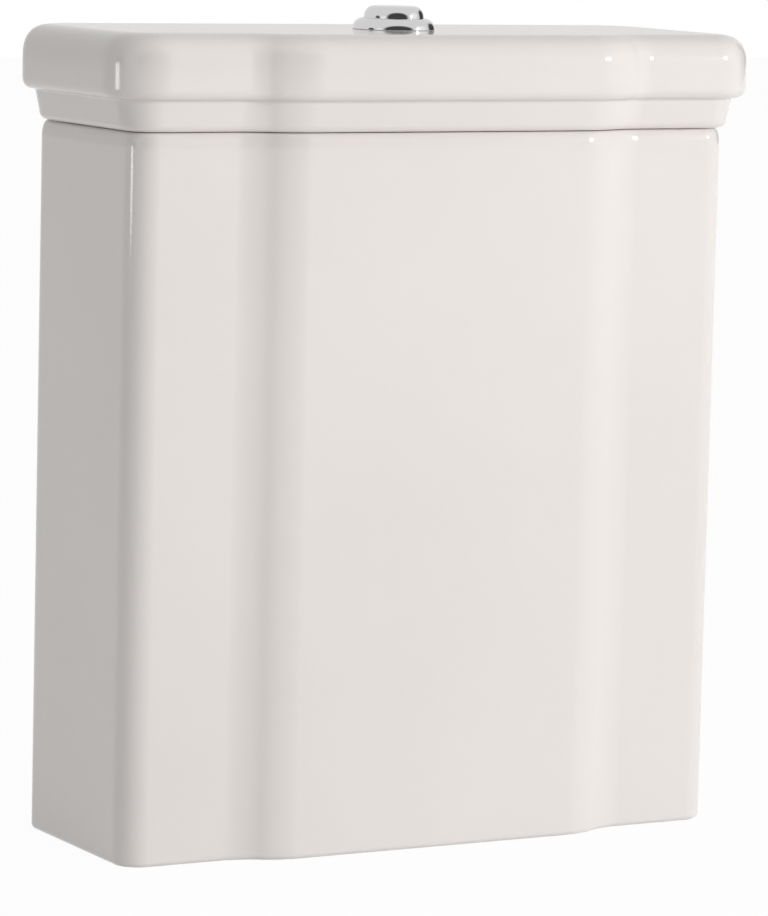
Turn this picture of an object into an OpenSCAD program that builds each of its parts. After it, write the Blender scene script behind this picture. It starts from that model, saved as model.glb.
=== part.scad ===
// Close-coupled ceramic cistern: stepped front, moulded lid, push-button drop valve and float-cup fill valve.
// Frame: X to the right, Y towards the wall, Z up. The base stands on Z = 0 and the front faces -Y.

/* [Tank] */
// Width of the tank across its plain sides
body_w = 372; // [368:1:386]
// Depth of the tank from its back to the front of the side wings
wing_depth = 129; // [126:1:146]
// How far the centre panel stands out in front of the wings
panel_step = 11; // [11:1:16]
// Turn of each of the two curves in the step beside the panel, in degrees
step_turn = 31; // [28:1:50]
// Distance from the middle of the tank to the middle of a step
step_x = 106; // [103:1:113]
// Radius of the front corners
front_r = 15; // [12:1:32]
// Radius of the back corners
back_r = 12; // [11:1:18]
// Thickness of the tank's walls
wall = 10; // [8:0.5:10]
// Height of the tank from its base to its rim
tank_h = 397; // [392:1:424]
// Height of the open skirt below the floor
skirt_h = 46; // [46:1:52]
// Thickness of the tank's floor
floor_t = 12; // [10:1:14]
// Radius of the arch in the back skirt that lets the supply hose in
arch_r = 28; // [24:1:30]
// Height of the straight sides of that arch
arch_side = 8; // [4:1:12]
// Spacing of the two wall screw holes
wall_hole_pitch = 220; // [180:5:260]
// Radius of the wall screw holes
wall_hole_r = 4.5; // [3.5:0.5:5.5]
// Distance of the wall screw holes below the rim
wall_hole_drop = 34; // [28:1:60]

/* [Lid] */
// Height of the lid
lid_h = 52; // [47:0.5:58]
// Thickness of the lid's top
lid_t = 10; // [8:1:12]
// Overhang of the lid's upper slab past the tank
slab_over = 14; // [12:0.5:15]
// Height of the lower band of the lid
band_h = 18; // [14:1:19]
// Overhang of the lower band at its top
band_over = 5.8; // [5:0.2:6.4]
// Overhang of the lower band just above its rounded foot
band_low = 3.5; // [3:0.5:4.5]
// Radius of the rounded foot of the lower band
foot_r = 5; // [3:0.5:6]
// Radius of the lid's back corners
lid_back_r = 17; // [7:1:24]
// Radius of the slab's lower edge
slab_low_r = 6.5; // [5:0.5:9]
// Reach of the slab's softly rounded upper edge, down the face and across the top
slab_top_r = 17; // [8:0.5:18]
// Fullness of that edge, where 2 is a plain round
slab_soft = 3; // [2:0.5:4]
// Thickness of the buffers that carry the lid on the rim
pad_h = 1; // [1:0.5:3]
// Radius of those buffers
pad_r = 2.5; // [2.5:0.1:3.5]
// Distance of the buffers from the middle of the tank
pad_x = 145; // [132:1:150]
// Distance of the buffers from the tank's outer faces
pad_in = 6.5; // [5:0.5:6.5]
// Length of the ribs that locate the lid inside the rim
rib_l = 40; // [30:1:60]
// Thickness of the ribs below the lid
rib_t = 4; // [3:0.5:6]
// How far the ribs reach down past the lid's foot
rib_drop = 9; // [6:1:14]
// Distance of the ribs from the middle of the tank
rib_x = 64; // [60:1:68]

/* [Push button] */
// Radius of the button
button_r = 16.7; // [15:0.1:18]
// Rounding of the button's upper edge
button_edge = 4.5; // [2:0.5:5]
// How far the button stands above its bezel
button_rise = 5.5; // [5:0.5:7]
// Travel of the button
button_travel = 8; // [6:0.5:8]
// Thickness of the button's cap and skirt
button_t = 2; // [1.5:0.1:2.5]
// Depth of the button's skirt below the top of the lid
button_skirt = 6; // [4:1:9]
// Width of the bezel's rounded rim round its sleeve
bezel_rim = 6; // [5:0.5:8]
// Height of the bezel above the lid
bezel_h = 7.5; // [5.5:0.5:8.5]
// Thickness of the bezel's sleeve and of the web across its lower end
sleeve_t = 2.4; // [2:0.2:3]
// Length of the bezel's sleeve below the top of the lid
sleeve_l = 34; // [32:1:38]
// Height of the ring nut that holds the bezel
ring_nut_h = 8; // [6:1:10]
// Width of that ring nut's face
ring_nut_w = 8; // [6:1:10]
// Radius of the button's stem
stem_r = 5.5; // [5.5:0.1:6.5]
// Length of the stem below the bezel's web
stem_free = 10; // [9:1:14]
// Mean radius of the return spring
spring_r = 10.5; // [9.5:0.1:11.5]
// Radius of the spring wire
spring_wire = 0.7; // [0.5:0.1:0.9]
// Number of turns in the spring
spring_turns = 6; // [4:1:8]
// Thickness of the clip that keeps the button in
clip_t = 2; // [1.5:0.1:2.5]
// Width of the clip's ring
clip_w = 3.5; // [2.5:0.5:4.5]
// Radius of the push rod
rod_r = 4; // [3.5:0.1:4]
// Depth of the rod's seat inside the stem
rod_seat = 18; // [12:1:22]
// Height of the rod's lock nut
rod_nut_h = 5; // [4:0.5:7]
// Width across corners of the rod's lock nut
rod_nut_w = 15; // [13:0.5:17]

/* [Flush valve] */
// Radius of the flush outlet
outlet_r = 24; // [22:0.5:25]
// Outer radius of the threaded tail
tail_r = 29.8; // [29:0.1:31]
// Height of the tail's end above the base
tail_clear = 5; // [3:1:7]
// Radius of the flange that stands on the floor
flange_r = 42; // [41:1:46]
// Thickness of that flange
flange_t = 4; // [3:0.5:6]
// Height of the valve seat above the flange
seat_h = 7; // [6:1:10]
// Radius of the valve seat's mouth
seat_r = 27; // [26:0.5:28]
// Width of the valve seat's rim
seat_w = 3; // [2:0.5:4]
// Thickness of the rubber washer below the flange
base_washer_t = 3; // [2:0.5:5]
// Height of the back nut below the floor
base_nut_h = 12; // [10:1:14]
// Radius of the back nut's body
base_nut_r = 40; // [38:1:42]
// How far the back nut's lugs stand out
lug_out = 4; // [2:0.5:6]
// Width of each lug
lug_w = 8; // [6:1:12]
// Number of lugs
lugs = 8; // [6:1:10]
// Outer radius of the coupling gasket
gasket_r = 47; // [44:1:52]
// Height of the gasket's lower face above the base
gasket_clear = 8; // [6:1:12]
// Outer radius of the cage round the valve
cage_r = 41; // [39:1:41]
// Thickness of the cage's walls
cage_t = 3; // [2:0.5:4]
// Height of the cage
cage_h = 85; // [80:1:95]
// Width of the cage's windows
window_w = 44; // [36:1:46]
// Height of the cage's windows
window_h = 54; // [44:1:58]
// Depth of the cage's ring below the windows
window_sill = 8; // [6:1:12]
// Distance of the tower's posts from the valve's axis
post_y = 30; // [28:0.5:33]
// Width of each post
post_w = 10; // [8:1:12]
// Thickness of each post
post_t = 6; // [5:0.5:7]
// Spacing of the height notches in the posts
notch_pitch = 10; // [8:1:14]
// Number of height notches in each post
notches = 10; // [6:1:12]
// Depth of the notches
notch_d = 1; // [0.5:0.1:1.5]
// Outer radius of the overflow tube
tube_r = 16; // [14:0.5:17]
// Wall of the overflow tube
tube_t = 3; // [2:0.5:4]
// Height of the overflow's lip above the floor
overflow_h = 242; // [230:1:250]
// Thickness of the valve seal
seal_t = 3; // [2:0.5:4]
// How far the seal reaches past the seat
seal_lap = 3; // [2:0.5:4]
// Thickness of the disc above the seal
disc_t = 4; // [3:0.5:5]
// Wall of the neck that carries the seal
neck_t = 2.5; // [2:0.1:3]
// Thickness of the ring that holds the seal up
seal_clip_t = 3; // [2:0.5:4]
// Width of that ring
seal_clip_w = 5; // [4:0.5:6]
// Outer radius of the valve's float
valve_float_r = 33; // [28:1:34]
// Height of the valve's float
valve_float_h = 28; // [20:1:30]
// Height of the float above the disc
valve_float_gap = 17; // [12:1:18]

/* [Flush lever] */
// Distance from the lever's pivot to its pressed nose
arm_short = 20; // [18:0.5:22]
// Distance from the lever's pivot to its lifting nose
arm_long = 44; // [40:1:46]
// Radius of the pressed nose
nose_short = 4; // [3.5:0.1:4.5]
// Radius of the lifting nose
nose_long = 3; // [2.5:0.1:3.5]
// Radius of the lever's hub
hub_r = 6; // [5:0.5:6.5]
// Thickness of the lever's bar
bar_t = 4; // [3:0.5:4]
// Width of the lever
lever_w = 10; // [8:1:12]
// Radius of the pivot pins of both levers
pin_r = 2; // [1.5:0.1:2.5]
// Radius of the pins' heads
pin_head_r = 3.2; // [2.8:0.1:4]
// Thickness of the pins' heads
pin_head_t = 1.5; // [1:0.1:2]
// Height of the pivot above the tower's plate
pivot_h = 15.5; // [15:0.5:18]
// Room above the overflow tube at the top of its travel
lift_room = 0.9; // [0.5:0.1:3]
// Thickness of the tower's plate
plate_t = 6; // [4:1:8]
// Thickness of the ears that hold the pivot pin
ear_t = 3; // [2.5:0.5:4]
// Depth of the collars that grip the posts
collar_h = 14; // [10:1:18]
// Wall of those collars
collar_t = 3; // [2:0.5:4]
// Height of the lifting yoke's collar
yoke_h = 10; // [8:1:12]
// Wall of the lifting yoke
yoke_t = 4; // [3:0.5:5]
// Room between the yoke's hook and the lever's nose
hook_gap = 1.5; // [1:0.5:3]
// Distance of the yoke below the overflow's lip
yoke_drop = 6; // [4:1:10]

/* [Fill valve] */
// Radius of the threaded inlet shank
shank_r = 10.48; // [10:0.02:11]
// Height of the shank's end above the base
shank_clear = 4; // [3:1:6]
// Length of free thread below the inlet nut's run-out groove
shank_free = 26; // [22:1:28]
// Depth of the thread's run-out groove
groove_d = 1.2; // [0.8:0.1:1.6]
// Radius of the waterway
water_r = 6; // [5:0.5:6.5]
// Length of the strainer inside the shank
strainer_h = 15; // [12:1:18]
// Wall of the strainer and width of its slots
strainer_t = 1.5; // [1:0.1:2]
// Radius of the shank's flange
shank_flange_r = 17; // [16:0.5:20]
// Thickness of the shank's flange
shank_flange_t = 4; // [3:0.5:6]
// Thickness of the inlet washer
inlet_washer_t = 3; // [2:0.5:4]
// Height of the inlet nut
inlet_nut_h = 10; // [8:0.5:11]
// Width across corners of the inlet nut
inlet_nut_w = 34; // [32:1:38]
// Radius of the riser
riser_r = 9; // [8.5:0.1:9.5]
// Height of the riser's top above the floor
riser_h = 240; // [228:1:250]
// Clearance between the float cup and the tank's side wall
float_side = 8; // [6:1:12]
// Outer radius of the float cup
cup_r = 30; // [27:1:31]
// Height of the float cup
cup_h = 67; // [55:1:75]
// Wall of the float cup
cup_t = 2; // [1.5:0.1:2.5]
// Distance of the float cup below the riser's top
cup_drop = 36; // [34:1:44]
// Radius of the float's rod
link_r = 2; // [1.5:0.1:2.5]
// Radius of the collars on the float's rod
link_collar_r = 4.5; // [4:0.1:5]
// Thickness of those collars
link_collar_t = 4.5; // [3.5:0.5:5]
// Thickness of the float's lug
lug_t = 12; // [8:1:14]
// Radius of the valve head
head_r = 15; // [14:0.5:16]
// Height of the valve head above the riser
head_h = 20; // [18:1:24]
// Wall of the valve head round its chamber
head_wall = 4.4; // [3:0.1:5]
// Depth of the head's socket on the riser
socket_h = 8; // [6:1:12]
// Thickness of the diaphragm
diaphragm_t = 2; // [1:0.5:3]
// Thickness of the cap's top
cap_t = 10; // [8:1:12]
// Wall of the cap's skirt
cap_wall = 2.2; // [1.8:0.1:3]
// Height of the cap's skirt round the head
cap_skirt = 8; // [6:1:10]
// Number of grip ribs on the cap
cap_ribs = 24; // [12:2:36]
// Width of the grip ribs, and how far they stand out
cap_rib = 1.1; // [0.8:0.1:1.5]
// Height of the pilot nozzle above the cap
nozzle_h = 2.5; // [2:0.1:3]
// Height of the float lever's pivot above the cap
float_pivot_h = 8; // [7.5:0.5:10]
// Distance of that pivot from the riser's axis
float_pivot_x = 12; // [10:0.5:13]
// Length of the float lever from its pivot to the rod
float_arm = 28; // [26:0.5:32]
// Length of the float lever's short end over the nozzle
float_nose = 14; // [12:0.5:15]
// Slope of the float lever when the cistern is empty, in degrees
float_slope = 10; // [8:0.5:10]
// Thickness of the float lever
float_bar_t = 5; // [4:0.5:5]
// Width of the float lever
float_bar_w = 10; // [9:0.5:12]
// Outer radius of the filling tube
dip_r = 6.5; // [5.5:0.5:7]
// Wall of the filling tube
dip_t = 1.5; // [1:0.1:2]
// Distance of the filling tube from the riser's axis
dip_y = 38.5; // [38:0.5:41]
// Height of the filling tube's end above the floor
dip_low = 22; // [16:1:60]

/* [Fixings] */
// Spacing of the two bolts that hold the cistern on the pan
bolt_pitch = 160; // [150:1:170]
// Radius of the bolts
bolt_r = 4; // [4:0.5:5]
// Radius of the bolts where they pass through nut and floor
bolt_core = 3.6; // [3.2:0.1:3.7]
// Height of the bolts' ends above the base
bolt_clear = 3; // [2:1:6]
// Radius of the bolt heads
bolt_head_r = 8; // [7:0.5:10]
// Width of the slot in the bolt heads
bolt_slot_w = 2; // [1.5:0.1:2.5]
// Depth of that slot
bolt_slot_d = 3; // [2:0.5:3.5]
// Height of the bolt heads
bolt_head_h = 6; // [4:0.5:8]
// Radius of the rubber seals below the bolt heads
bolt_seal_r = 13; // [11:0.5:15]
// Height of those seals
bolt_seal_h = 5; // [4:0.5:7]
// Radius of the washers below the floor
bolt_washer_r = 12; // [10:0.5:14]
// Thickness of those washers
bolt_washer_t = 2; // [1.5:0.5:3]
// Height of the bolts' nuts
bolt_nut_h = 6.5; // [5:0.5:8]
// Width across corners of the bolts' nuts
bolt_nut_w = 15; // [13:0.5:18]

/* [Clearances] */
// Clearance of threads and slip fits
slip = 0.3; // [0.2:0.05:0.4]
// Clearance of pins in their holes
pin_gap = 0.05; // [0.02:0.01:0.1]
// Gap between a moving nose and the face it pushes
touch = 0.3; // [0.2:0.05:0.4]
// Clearance of the holes in the ceramic
hole_gap = 1.5; // [1:0.5:3]
// Clearance of the overflow tube and the float cup on their guides
guide_gap = 0.6; // [0.4:0.1:0.8]
// Clearance of the lid's ribs inside the rim
rib_gap = 1.5; // [1:0.5:3]

/* [Hidden] */
$fn = 64;
cut = 1;

// Plan of the tank: two wings, two S-shaped steps and the centre panel
half_w = body_w / 2;
back_y = (wing_depth + panel_step + slab_over) / 2;
wing_y = back_y - wing_depth;
panel_y = wing_y - panel_step;
step_r = panel_step / (2 * (1 - cos(step_turn)));
panel_x = step_x - step_r * sin(step_turn);
wing_x = step_x + step_r * sin(step_turn);
arc_steps = 6;
round_steps = 4;
soft_steps = 6;

// Heights of the tank and the lid
floor_top = skirt_h + floor_t;
lid_z = tank_h + pad_h;
lid_top = lid_z + lid_h;
ceiling = lid_top - lid_t;
lid_inset = wall + slip;

// Axis of the flush valve and the button, and axis of the fill valve
axis_y = (panel_y + back_y) / 2;
fill_y = (wing_y + back_y) / 2;
fill_x = -(half_w - wall - float_side - cup_r);

// Push button
sleeve_in = button_r + slip;
sleeve_out = sleeve_in + sleeve_t;
bezel_r = sleeve_in + bezel_rim;
bead_r = bezel_rim - sleeve_t / 2;
sleeve_z = lid_top - sleeve_l;
web_z = sleeve_z + sleeve_t;
button_top = lid_top + bezel_h + button_rise;
cap_under = button_top - button_t;
stem_end = sleeve_z - stem_free;
spring_rings = 8;
spring_sides = 6;
spring_low = web_z + spring_wire + touch / 2;
spring_high = cap_under - spring_wire - touch / 2;
spring_gap = (spring_high - spring_low) / spring_turns - 2 * spring_wire;
echo(spring_self_gap = spring_gap);

// Flush valve
flange_z = floor_top + base_washer_t;
flange_top = flange_z + flange_t;
seat_z = flange_top + seat_h;
tube_in = tube_r - tube_t;
neck_r = tube_in + neck_t;
disc_z = seat_z + seal_t;
tube_z = disc_z + disc_t;
overflow_z = floor_top + overflow_h;
cage_top = flange_top + cage_h;
lift = button_travel * arm_long / arm_short + lift_room;
plate_z = overflow_z + lift + plate_t;
plate_top = plate_z + plate_t;
pivot_z = plate_top + pivot_h;
rod_end = pivot_z + nose_short + touch;
hook_z = pivot_z + nose_long + touch;
lift_x = arm_short + arm_long;
yoke_z = overflow_z - yoke_drop - yoke_h;
ear_y = lever_w / 2 + slip;

// Fill valve
shank_top = floor_top + inlet_washer_t;
riser_z = shank_top + shank_flange_t;
riser_top = floor_top + riser_h;
groove_z = shank_clear + shank_free;
groove_h = skirt_h - inlet_nut_h - groove_z;
head_top = riser_top + head_h;
cap_z = head_top + diaphragm_t;
cap_r = head_r + slip + cap_wall;
cap_top = cap_z + cap_t;
float_pivot_z = cap_top + float_pivot_h;
link_x = float_pivot_x + float_arm * cos(float_slope);
link_z = float_pivot_z - float_arm * sin(float_slope);
link_room = float_bar_t / 2 / cos(float_slope) + link_collar_r * tan(float_slope) + touch;
cup_top = riser_top - cup_drop;
cup_low = cup_top - cup_h;
float_ear_y = float_bar_w / 2 + slip;
outlet_z = riser_top + socket_h / 2;

// Bolts
bolt_head_z = floor_top + bolt_seal_h;
bolt_nut_z = skirt_h - bolt_washer_t - bolt_nut_h;

// Points along an arc about c, from its first step on
function arc_points(c, r, from, turn, steps, first = 0) = [
  for (i = [first : steps]) let (a = from + turn * i / steps) [c[0] + r * cos(a), c[1] + r * sin(a)]
];

// Points along a soft corner about c, from its side to its top
function soft_points(c, r, full, steps) = [
  for (i = [0 : steps]) let (a = 90 * i / steps) c + r * [pow(cos(a), 2 / full), pow(sin(a), 2 / full)]
];

// Right half of the front and side, moved out by o: panel, S-shaped step, wing and front corner
function front_half(o) = concat(
  arc_points([panel_x, panel_y + step_r], step_r + o, -90, step_turn, arc_steps),
  arc_points([wing_x, wing_y - step_r], step_r - o, 90 + step_turn, -step_turn, arc_steps, 1),
  arc_points([half_w - front_r, wing_y + front_r], front_r + o, -90, 90, arc_steps)
);

// Both halves of a plan, from its right half
function both_halves(h) = concat(h, [for (i = [len(h) - 1 : -1 : 0]) [-h[i][0], h[i][1]]]);

// Plan of the tank, with rounded back corners
function tank_plan(o) = both_halves(concat(
  front_half(o),
  arc_points([half_w - back_r, back_y - back_r], back_r + o, 0, 90, arc_steps)
));

// Plan of the lid: its sides move out by o, and its back stays at a given place
function lid_plan(o, back) = both_halves(concat(
  front_half(o),
  arc_points([half_w + o - lid_back_r, back - lid_back_r], lid_back_r, 0, 90, arc_steps)
));

// Section of the lid's edge from foot to top: rounded foot, tapered band and overhanging slab
lid_section = concat(
  arc_points([band_low - foot_r, foot_r], foot_r, -90, 90, round_steps),
  [[band_over, band_h]],
  arc_points([slab_over - slab_low_r, band_h + slab_low_r], slab_low_r, -90, 90, round_steps, 1),
  soft_points([slab_over - slab_top_r, lid_h - slab_top_r], slab_top_r, slab_soft, soft_steps)
);

// Solid with one plan per point of the lid's section, closed by a fan at each end
module lid_loft() {
  rows = [for (q = lid_section) [for (p = lid_plan(q[0], back_y)) [p[0], p[1], q[1]]]];
  n = len(rows[0]);
  m = len(rows);
  points = concat([for (row = rows) each row], [[0, fill_y, 0], [0, fill_y, lid_h]]);
  polyhedron(
    points = points,
    faces = concat(
      [for (k = [0 : m - 2], i = [0 : n - 1]) [k * n + i, (k + 1) * n + i, (k + 1) * n + (i + 1) % n]],
      [for (k = [0 : m - 2], i = [0 : n - 1]) [k * n + i, (k + 1) * n + (i + 1) % n, k * n + (i + 1) % n]],
      [for (i = [0 : n - 1]) [m * n, i, (i + 1) % n]],
      [for (i = [0 : n - 1]) [m * n + 1, (m - 1) * n + (i + 1) % n, (m - 1) * n + i]]
    )
  );
}

module ring(outer, inner, h) difference() {
  cylinder(r = outer, h = h);
  translate([0, 0, -cut]) cylinder(r = inner, h = h + 2 * cut);
}

// A round bar along Y, centred
module cross_bar(r, l) rotate([90, 0, 0]) cylinder(r = r, h = l, center = true);

// A flat bar between two points of a drawing, w wide
module bar(a, b, w) {
  d = b - a;
  translate(a) rotate(atan2(d[1], d[0])) translate([0, -w / 2]) square([norm(d), w]);
}

// Shell of vitreous china with a raised floor and an open skirt below it
module tank() color([0.93, 0.92, 0.89]) difference() {
  linear_extrude(tank_h) polygon(tank_plan(0));
  translate([0, 0, floor_top]) linear_extrude(tank_h) polygon(tank_plan(-wall));
  translate([0, 0, -cut]) linear_extrude(skirt_h + cut) polygon(tank_plan(-wall));
  translate([0, axis_y, skirt_h - cut]) cylinder(r = tail_r + hole_gap, h = floor_t + 2 * cut);
  translate([fill_x, fill_y, skirt_h - cut]) cylinder(r = shank_r + hole_gap, h = floor_t + 2 * cut);
  for (side = [-1, 1]) {
    translate([side * bolt_pitch / 2, axis_y, skirt_h - cut])
      cylinder(r = bolt_r + hole_gap, h = floor_t + 2 * cut);
    translate([side * wall_hole_pitch / 2, back_y - wall / 2, tank_h - wall_hole_drop])
      cross_bar(wall_hole_r, wall + 2 * cut);
  }
  translate([fill_x, back_y + cut, 0]) rotate([90, 0, 0]) linear_extrude(wall + 2 * cut) {
    translate([-arch_r, -cut]) square([2 * arch_r, arch_side + cut]);
    translate([0, arch_side]) circle(arch_r);
  }
}

// Hollow china lid, flush with the tank at the back
module lid() color([0.94, 0.93, 0.9]) difference() {
  union() {
    difference() {
      translate([0, 0, lid_z]) lid_loft();
      translate([0, 0, lid_z - cut]) linear_extrude(lid_h - lid_t + cut)
        polygon(lid_plan(-lid_inset, back_y - lid_inset));
    }
    for (side = [-1, 1]) {
      locating_rib(side * rib_x, panel_y + wall + rib_gap, panel_y + lid_inset / 2);
      locating_rib(side * rib_x, back_y - wall - rib_gap - rib_t, back_y - wall - rib_gap - rib_t);
    }
  }
  translate([0, axis_y, ceiling - cut]) cylinder(r = sleeve_out + slip, h = lid_t + 2 * cut);
}

// One rib below the lid: low part inside the rim, root against the lid's rim
module locating_rib(x, low_y, root_y) {
  root_t = rib_t + wall + rib_gap - lid_inset / 2;
  translate([x - rib_l / 2, low_y, lid_z - rib_drop]) cube([rib_l, rib_t, rib_drop + band_h]);
  translate([x - rib_l / 2, root_y, lid_z]) cube([rib_l, root_t, band_h]);
}

// Soft buffers between the rim and the lid
module lid_pads() color("dimgray")
  for (x = [-pad_x, pad_x], y = [wing_y + pad_in, back_y - pad_in])
    translate([x, y, tank_h]) cylinder(r = pad_r, h = pad_h);

// Rounded bezel with the sleeve that guides the button
module button_bezel() color("silver") translate([0, axis_y, 0]) {
  rotate_extrude() {
    translate([sleeve_in, lid_top]) intersection() {
      union() {
        square([sleeve_t / 2, bezel_h]);
        square([bezel_rim, bezel_h - bead_r]);
        translate([sleeve_t / 2, bezel_h - bead_r]) circle(bead_r);
      }
      square([bezel_rim, bezel_h]);
    }
    translate([sleeve_in, sleeve_z]) square([sleeve_t, sleeve_l]);
    translate([stem_r + slip, sleeve_z]) square([sleeve_out - stem_r - slip, sleeve_t]);
  }
}

// Ring nut below the lid
module bezel_nut() color("white") translate([0, axis_y, ceiling - ring_nut_h]) {
  ring(sleeve_out + slip + ring_nut_w, sleeve_out + slip, ring_nut_h);
}

// Cap, skirt and stem of the button
module push_button() color("silver") translate([0, axis_y, 0]) rotate_extrude() {
  translate([0, cap_under]) square([button_r - button_edge, button_t]);
  translate([button_r - button_edge, button_top - button_edge]) intersection() {
    difference() {
      circle(button_edge);
      circle(button_edge - button_t);
    }
    square(button_edge);
  }
  translate([button_r - button_t, lid_top - button_skirt])
    square([button_t, button_top - button_edge - lid_top + button_skirt]);
  translate([rod_r + pin_gap, stem_end]) square([stem_r - rod_r - pin_gap, rod_seat]);
  translate([0, stem_end + rod_seat]) square([stem_r, cap_under - stem_end - rod_seat]);
}

// Centre of the spring wire at step i, and point j of its round section
function coil_angle(i) = 360 * i / spring_rings;
function coil_z(i) = spring_low + (spring_high - spring_low) * i / (spring_turns * spring_rings);
function coil_point(i, j) = let (
  side = 360 * j / spring_sides,
  r = spring_r + spring_wire * cos(side)
) [r * cos(coil_angle(i)), r * sin(coil_angle(i)), coil_z(i) + spring_wire * sin(side)];

// Return spring between the bezel's web and the button's cap
module button_spring() color("darkgray") translate([0, axis_y, 0]) {
  last = spring_turns * spring_rings;
  n = spring_sides;
  polyhedron(
    points = [for (i = [0 : last], j = [0 : n - 1]) coil_point(i, j)],
    faces = concat(
      [for (i = [0 : last - 1], j = [0 : n - 1])
        let (k = (j + 1) % n) [i * n + j, (i + 1) * n + j, (i + 1) * n + k]],
      [for (i = [0 : last - 1], j = [0 : n - 1])
        let (k = (j + 1) % n) [i * n + j, (i + 1) * n + k, i * n + k]],
      [for (j = [1 : n - 2]) [0, j, j + 1]],
      [for (j = [1 : n - 2]) [last * n, last * n + j + 1, last * n + j]]
    )
  );
}

// Clip on the stem below the web
module button_clip() color("gray") translate([0, axis_y, sleeve_z - touch - clip_t])
  ring(stem_r + pin_gap + clip_w, stem_r + pin_gap, clip_t);

// Rod between the button and the lever
module push_rod() color("lightgray") translate([0, axis_y, rod_end])
  cylinder(r = rod_r, h = stem_end + rod_seat - rod_end);

// Lock nut of the rod
module rod_nut() color("gray") translate([0, axis_y, stem_end - rod_nut_h]) difference() {
  cylinder(d = rod_nut_w, h = rod_nut_h, $fn = 6);
  translate([0, 0, -cut]) cylinder(r = rod_r + pin_gap, h = rod_nut_h + 2 * cut);
}

// Threaded tail, flange and valve seat
module valve_base() color("whitesmoke") translate([0, axis_y, 0]) difference() {
  flare = (seat_r - outlet_r) / (seat_h - cut);
  union() {
    translate([0, 0, tail_clear]) cylinder(r = tail_r, h = flange_z + flange_t / 2 - tail_clear);
    translate([0, 0, flange_z]) cylinder(r = flange_r, h = flange_t);
    translate([0, 0, flange_z]) cylinder(r = seat_r + seat_w, h = seat_z - flange_z);
  }
  translate([0, 0, tail_clear - cut]) cylinder(r = outlet_r, h = flange_top + 2 * cut - tail_clear);
  translate([0, 0, flange_top + cut])
    cylinder(r1 = outlet_r, r2 = seat_r + flare * cut, h = seat_h);
}

// Rubber washer between the flange and the floor
module base_washer() color("dimgray") translate([0, axis_y, floor_top])
  ring(flange_r, tail_r + slip, base_washer_t);

// Back nut with lugs
module base_nut() color("white") translate([0, axis_y, skirt_h - base_nut_h])
  linear_extrude(base_nut_h) difference() {
    union() {
      circle(base_nut_r);
      for (i = [0 : lugs - 1]) rotate(360 * (i + 1 / 2) / lugs)
        translate([0, -lug_w / 2]) square([base_nut_r + lug_out, lug_w]);
    }
    circle(tail_r + slip);
  }

// Foam gasket that seals the cistern to the pan
module coupling_gasket() color("dimgray") translate([0, axis_y, gasket_clear])
  ring(gasket_r, tail_r + slip, skirt_h - base_nut_h - gasket_clear);

// Open cage on the flange, with the two notched posts of the tower
module valve_cage() color("white") translate([0, axis_y, flange_top]) {
  difference() {
    ring(cage_r, cage_r - cage_t, cage_h - cage_t);
    for (turn = [0, 90]) rotate(turn)
      translate([-cage_r - cut, -window_w / 2, window_sill]) cube([2 * (cage_r + cut), window_w, window_h]);
  }
  translate([0, 0, cage_h - cage_t]) ring(cage_r, tube_r + guide_gap, cage_t);
  for (side = [0, 1]) mirror([0, side, 0]) difference() {
    translate([-post_w / 2, post_y - post_t / 2, cage_h - cage_t])
      cube([post_w, post_t, plate_z - cage_top + cage_t]);
    for (i = [1 : notches])
      translate([-post_w / 2 - cut, post_y + post_t / 2 - notch_d, cage_h + i * notch_pitch])
        cube([post_w + 2 * cut, notch_d + cut, notch_pitch / 2]);
  }
}

// Overflow tube with the disc and neck that carry the seal
module overflow_tube() color("lightsteelblue") translate([0, axis_y, 0]) difference() {
  union() {
    translate([0, 0, seat_z - seal_clip_t - cut]) cylinder(r = neck_r, h = seal_t + seal_clip_t + disc_t);
    translate([0, 0, disc_z]) cylinder(r = seat_r + seat_w, h = disc_t);
    translate([0, 0, disc_z]) cylinder(r = tube_r, h = overflow_z - disc_z);
  }
  translate([0, 0, seat_z - seal_clip_t - 2 * cut])
    cylinder(r = tube_in, h = overflow_z - seat_z + seal_clip_t + 3 * cut);
}

// Soft seal that lies on the valve seat
module valve_seal() color("firebrick") translate([0, axis_y, seat_z])
  ring(seat_r + seat_w + seal_lap, neck_r + slip, seal_t);

// Ring that holds the seal up against its disc
module seal_clip() color("white") translate([0, axis_y, seat_z - seal_clip_t])
  ring(neck_r + slip + seal_clip_w, neck_r + slip, seal_clip_t);

// Float that slows the valve's closing
module valve_float() color("white") translate([0, axis_y, tube_z + valve_float_gap])
  ring(valve_float_r, tube_r + slip, valve_float_h);

// Collar, arm and hook by which the lever lifts the tube
module lift_yoke() color("steelblue") translate([0, axis_y, 0]) {
  hook_x = lift_x + nose_long + hook_gap;
  translate([0, 0, yoke_z]) difference() {
    union() {
      cylinder(r = tube_r + slip + yoke_t, h = yoke_h);
      translate([0, -lever_w / 2, 0]) cube([hook_x + yoke_t, lever_w, yoke_h]);
    }
    translate([0, 0, -cut]) cylinder(r = tube_r + slip, h = yoke_h + 2 * cut);
  }
  translate([hook_x, -lever_w / 2, yoke_z]) cube([yoke_t, lever_w, hook_z + yoke_t - yoke_z]);
  translate([lift_x - 2 * nose_long, -lever_w / 2, hook_z])
    cube([hook_x + yoke_t - lift_x + 2 * nose_long, lever_w, yoke_t]);
}

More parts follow.
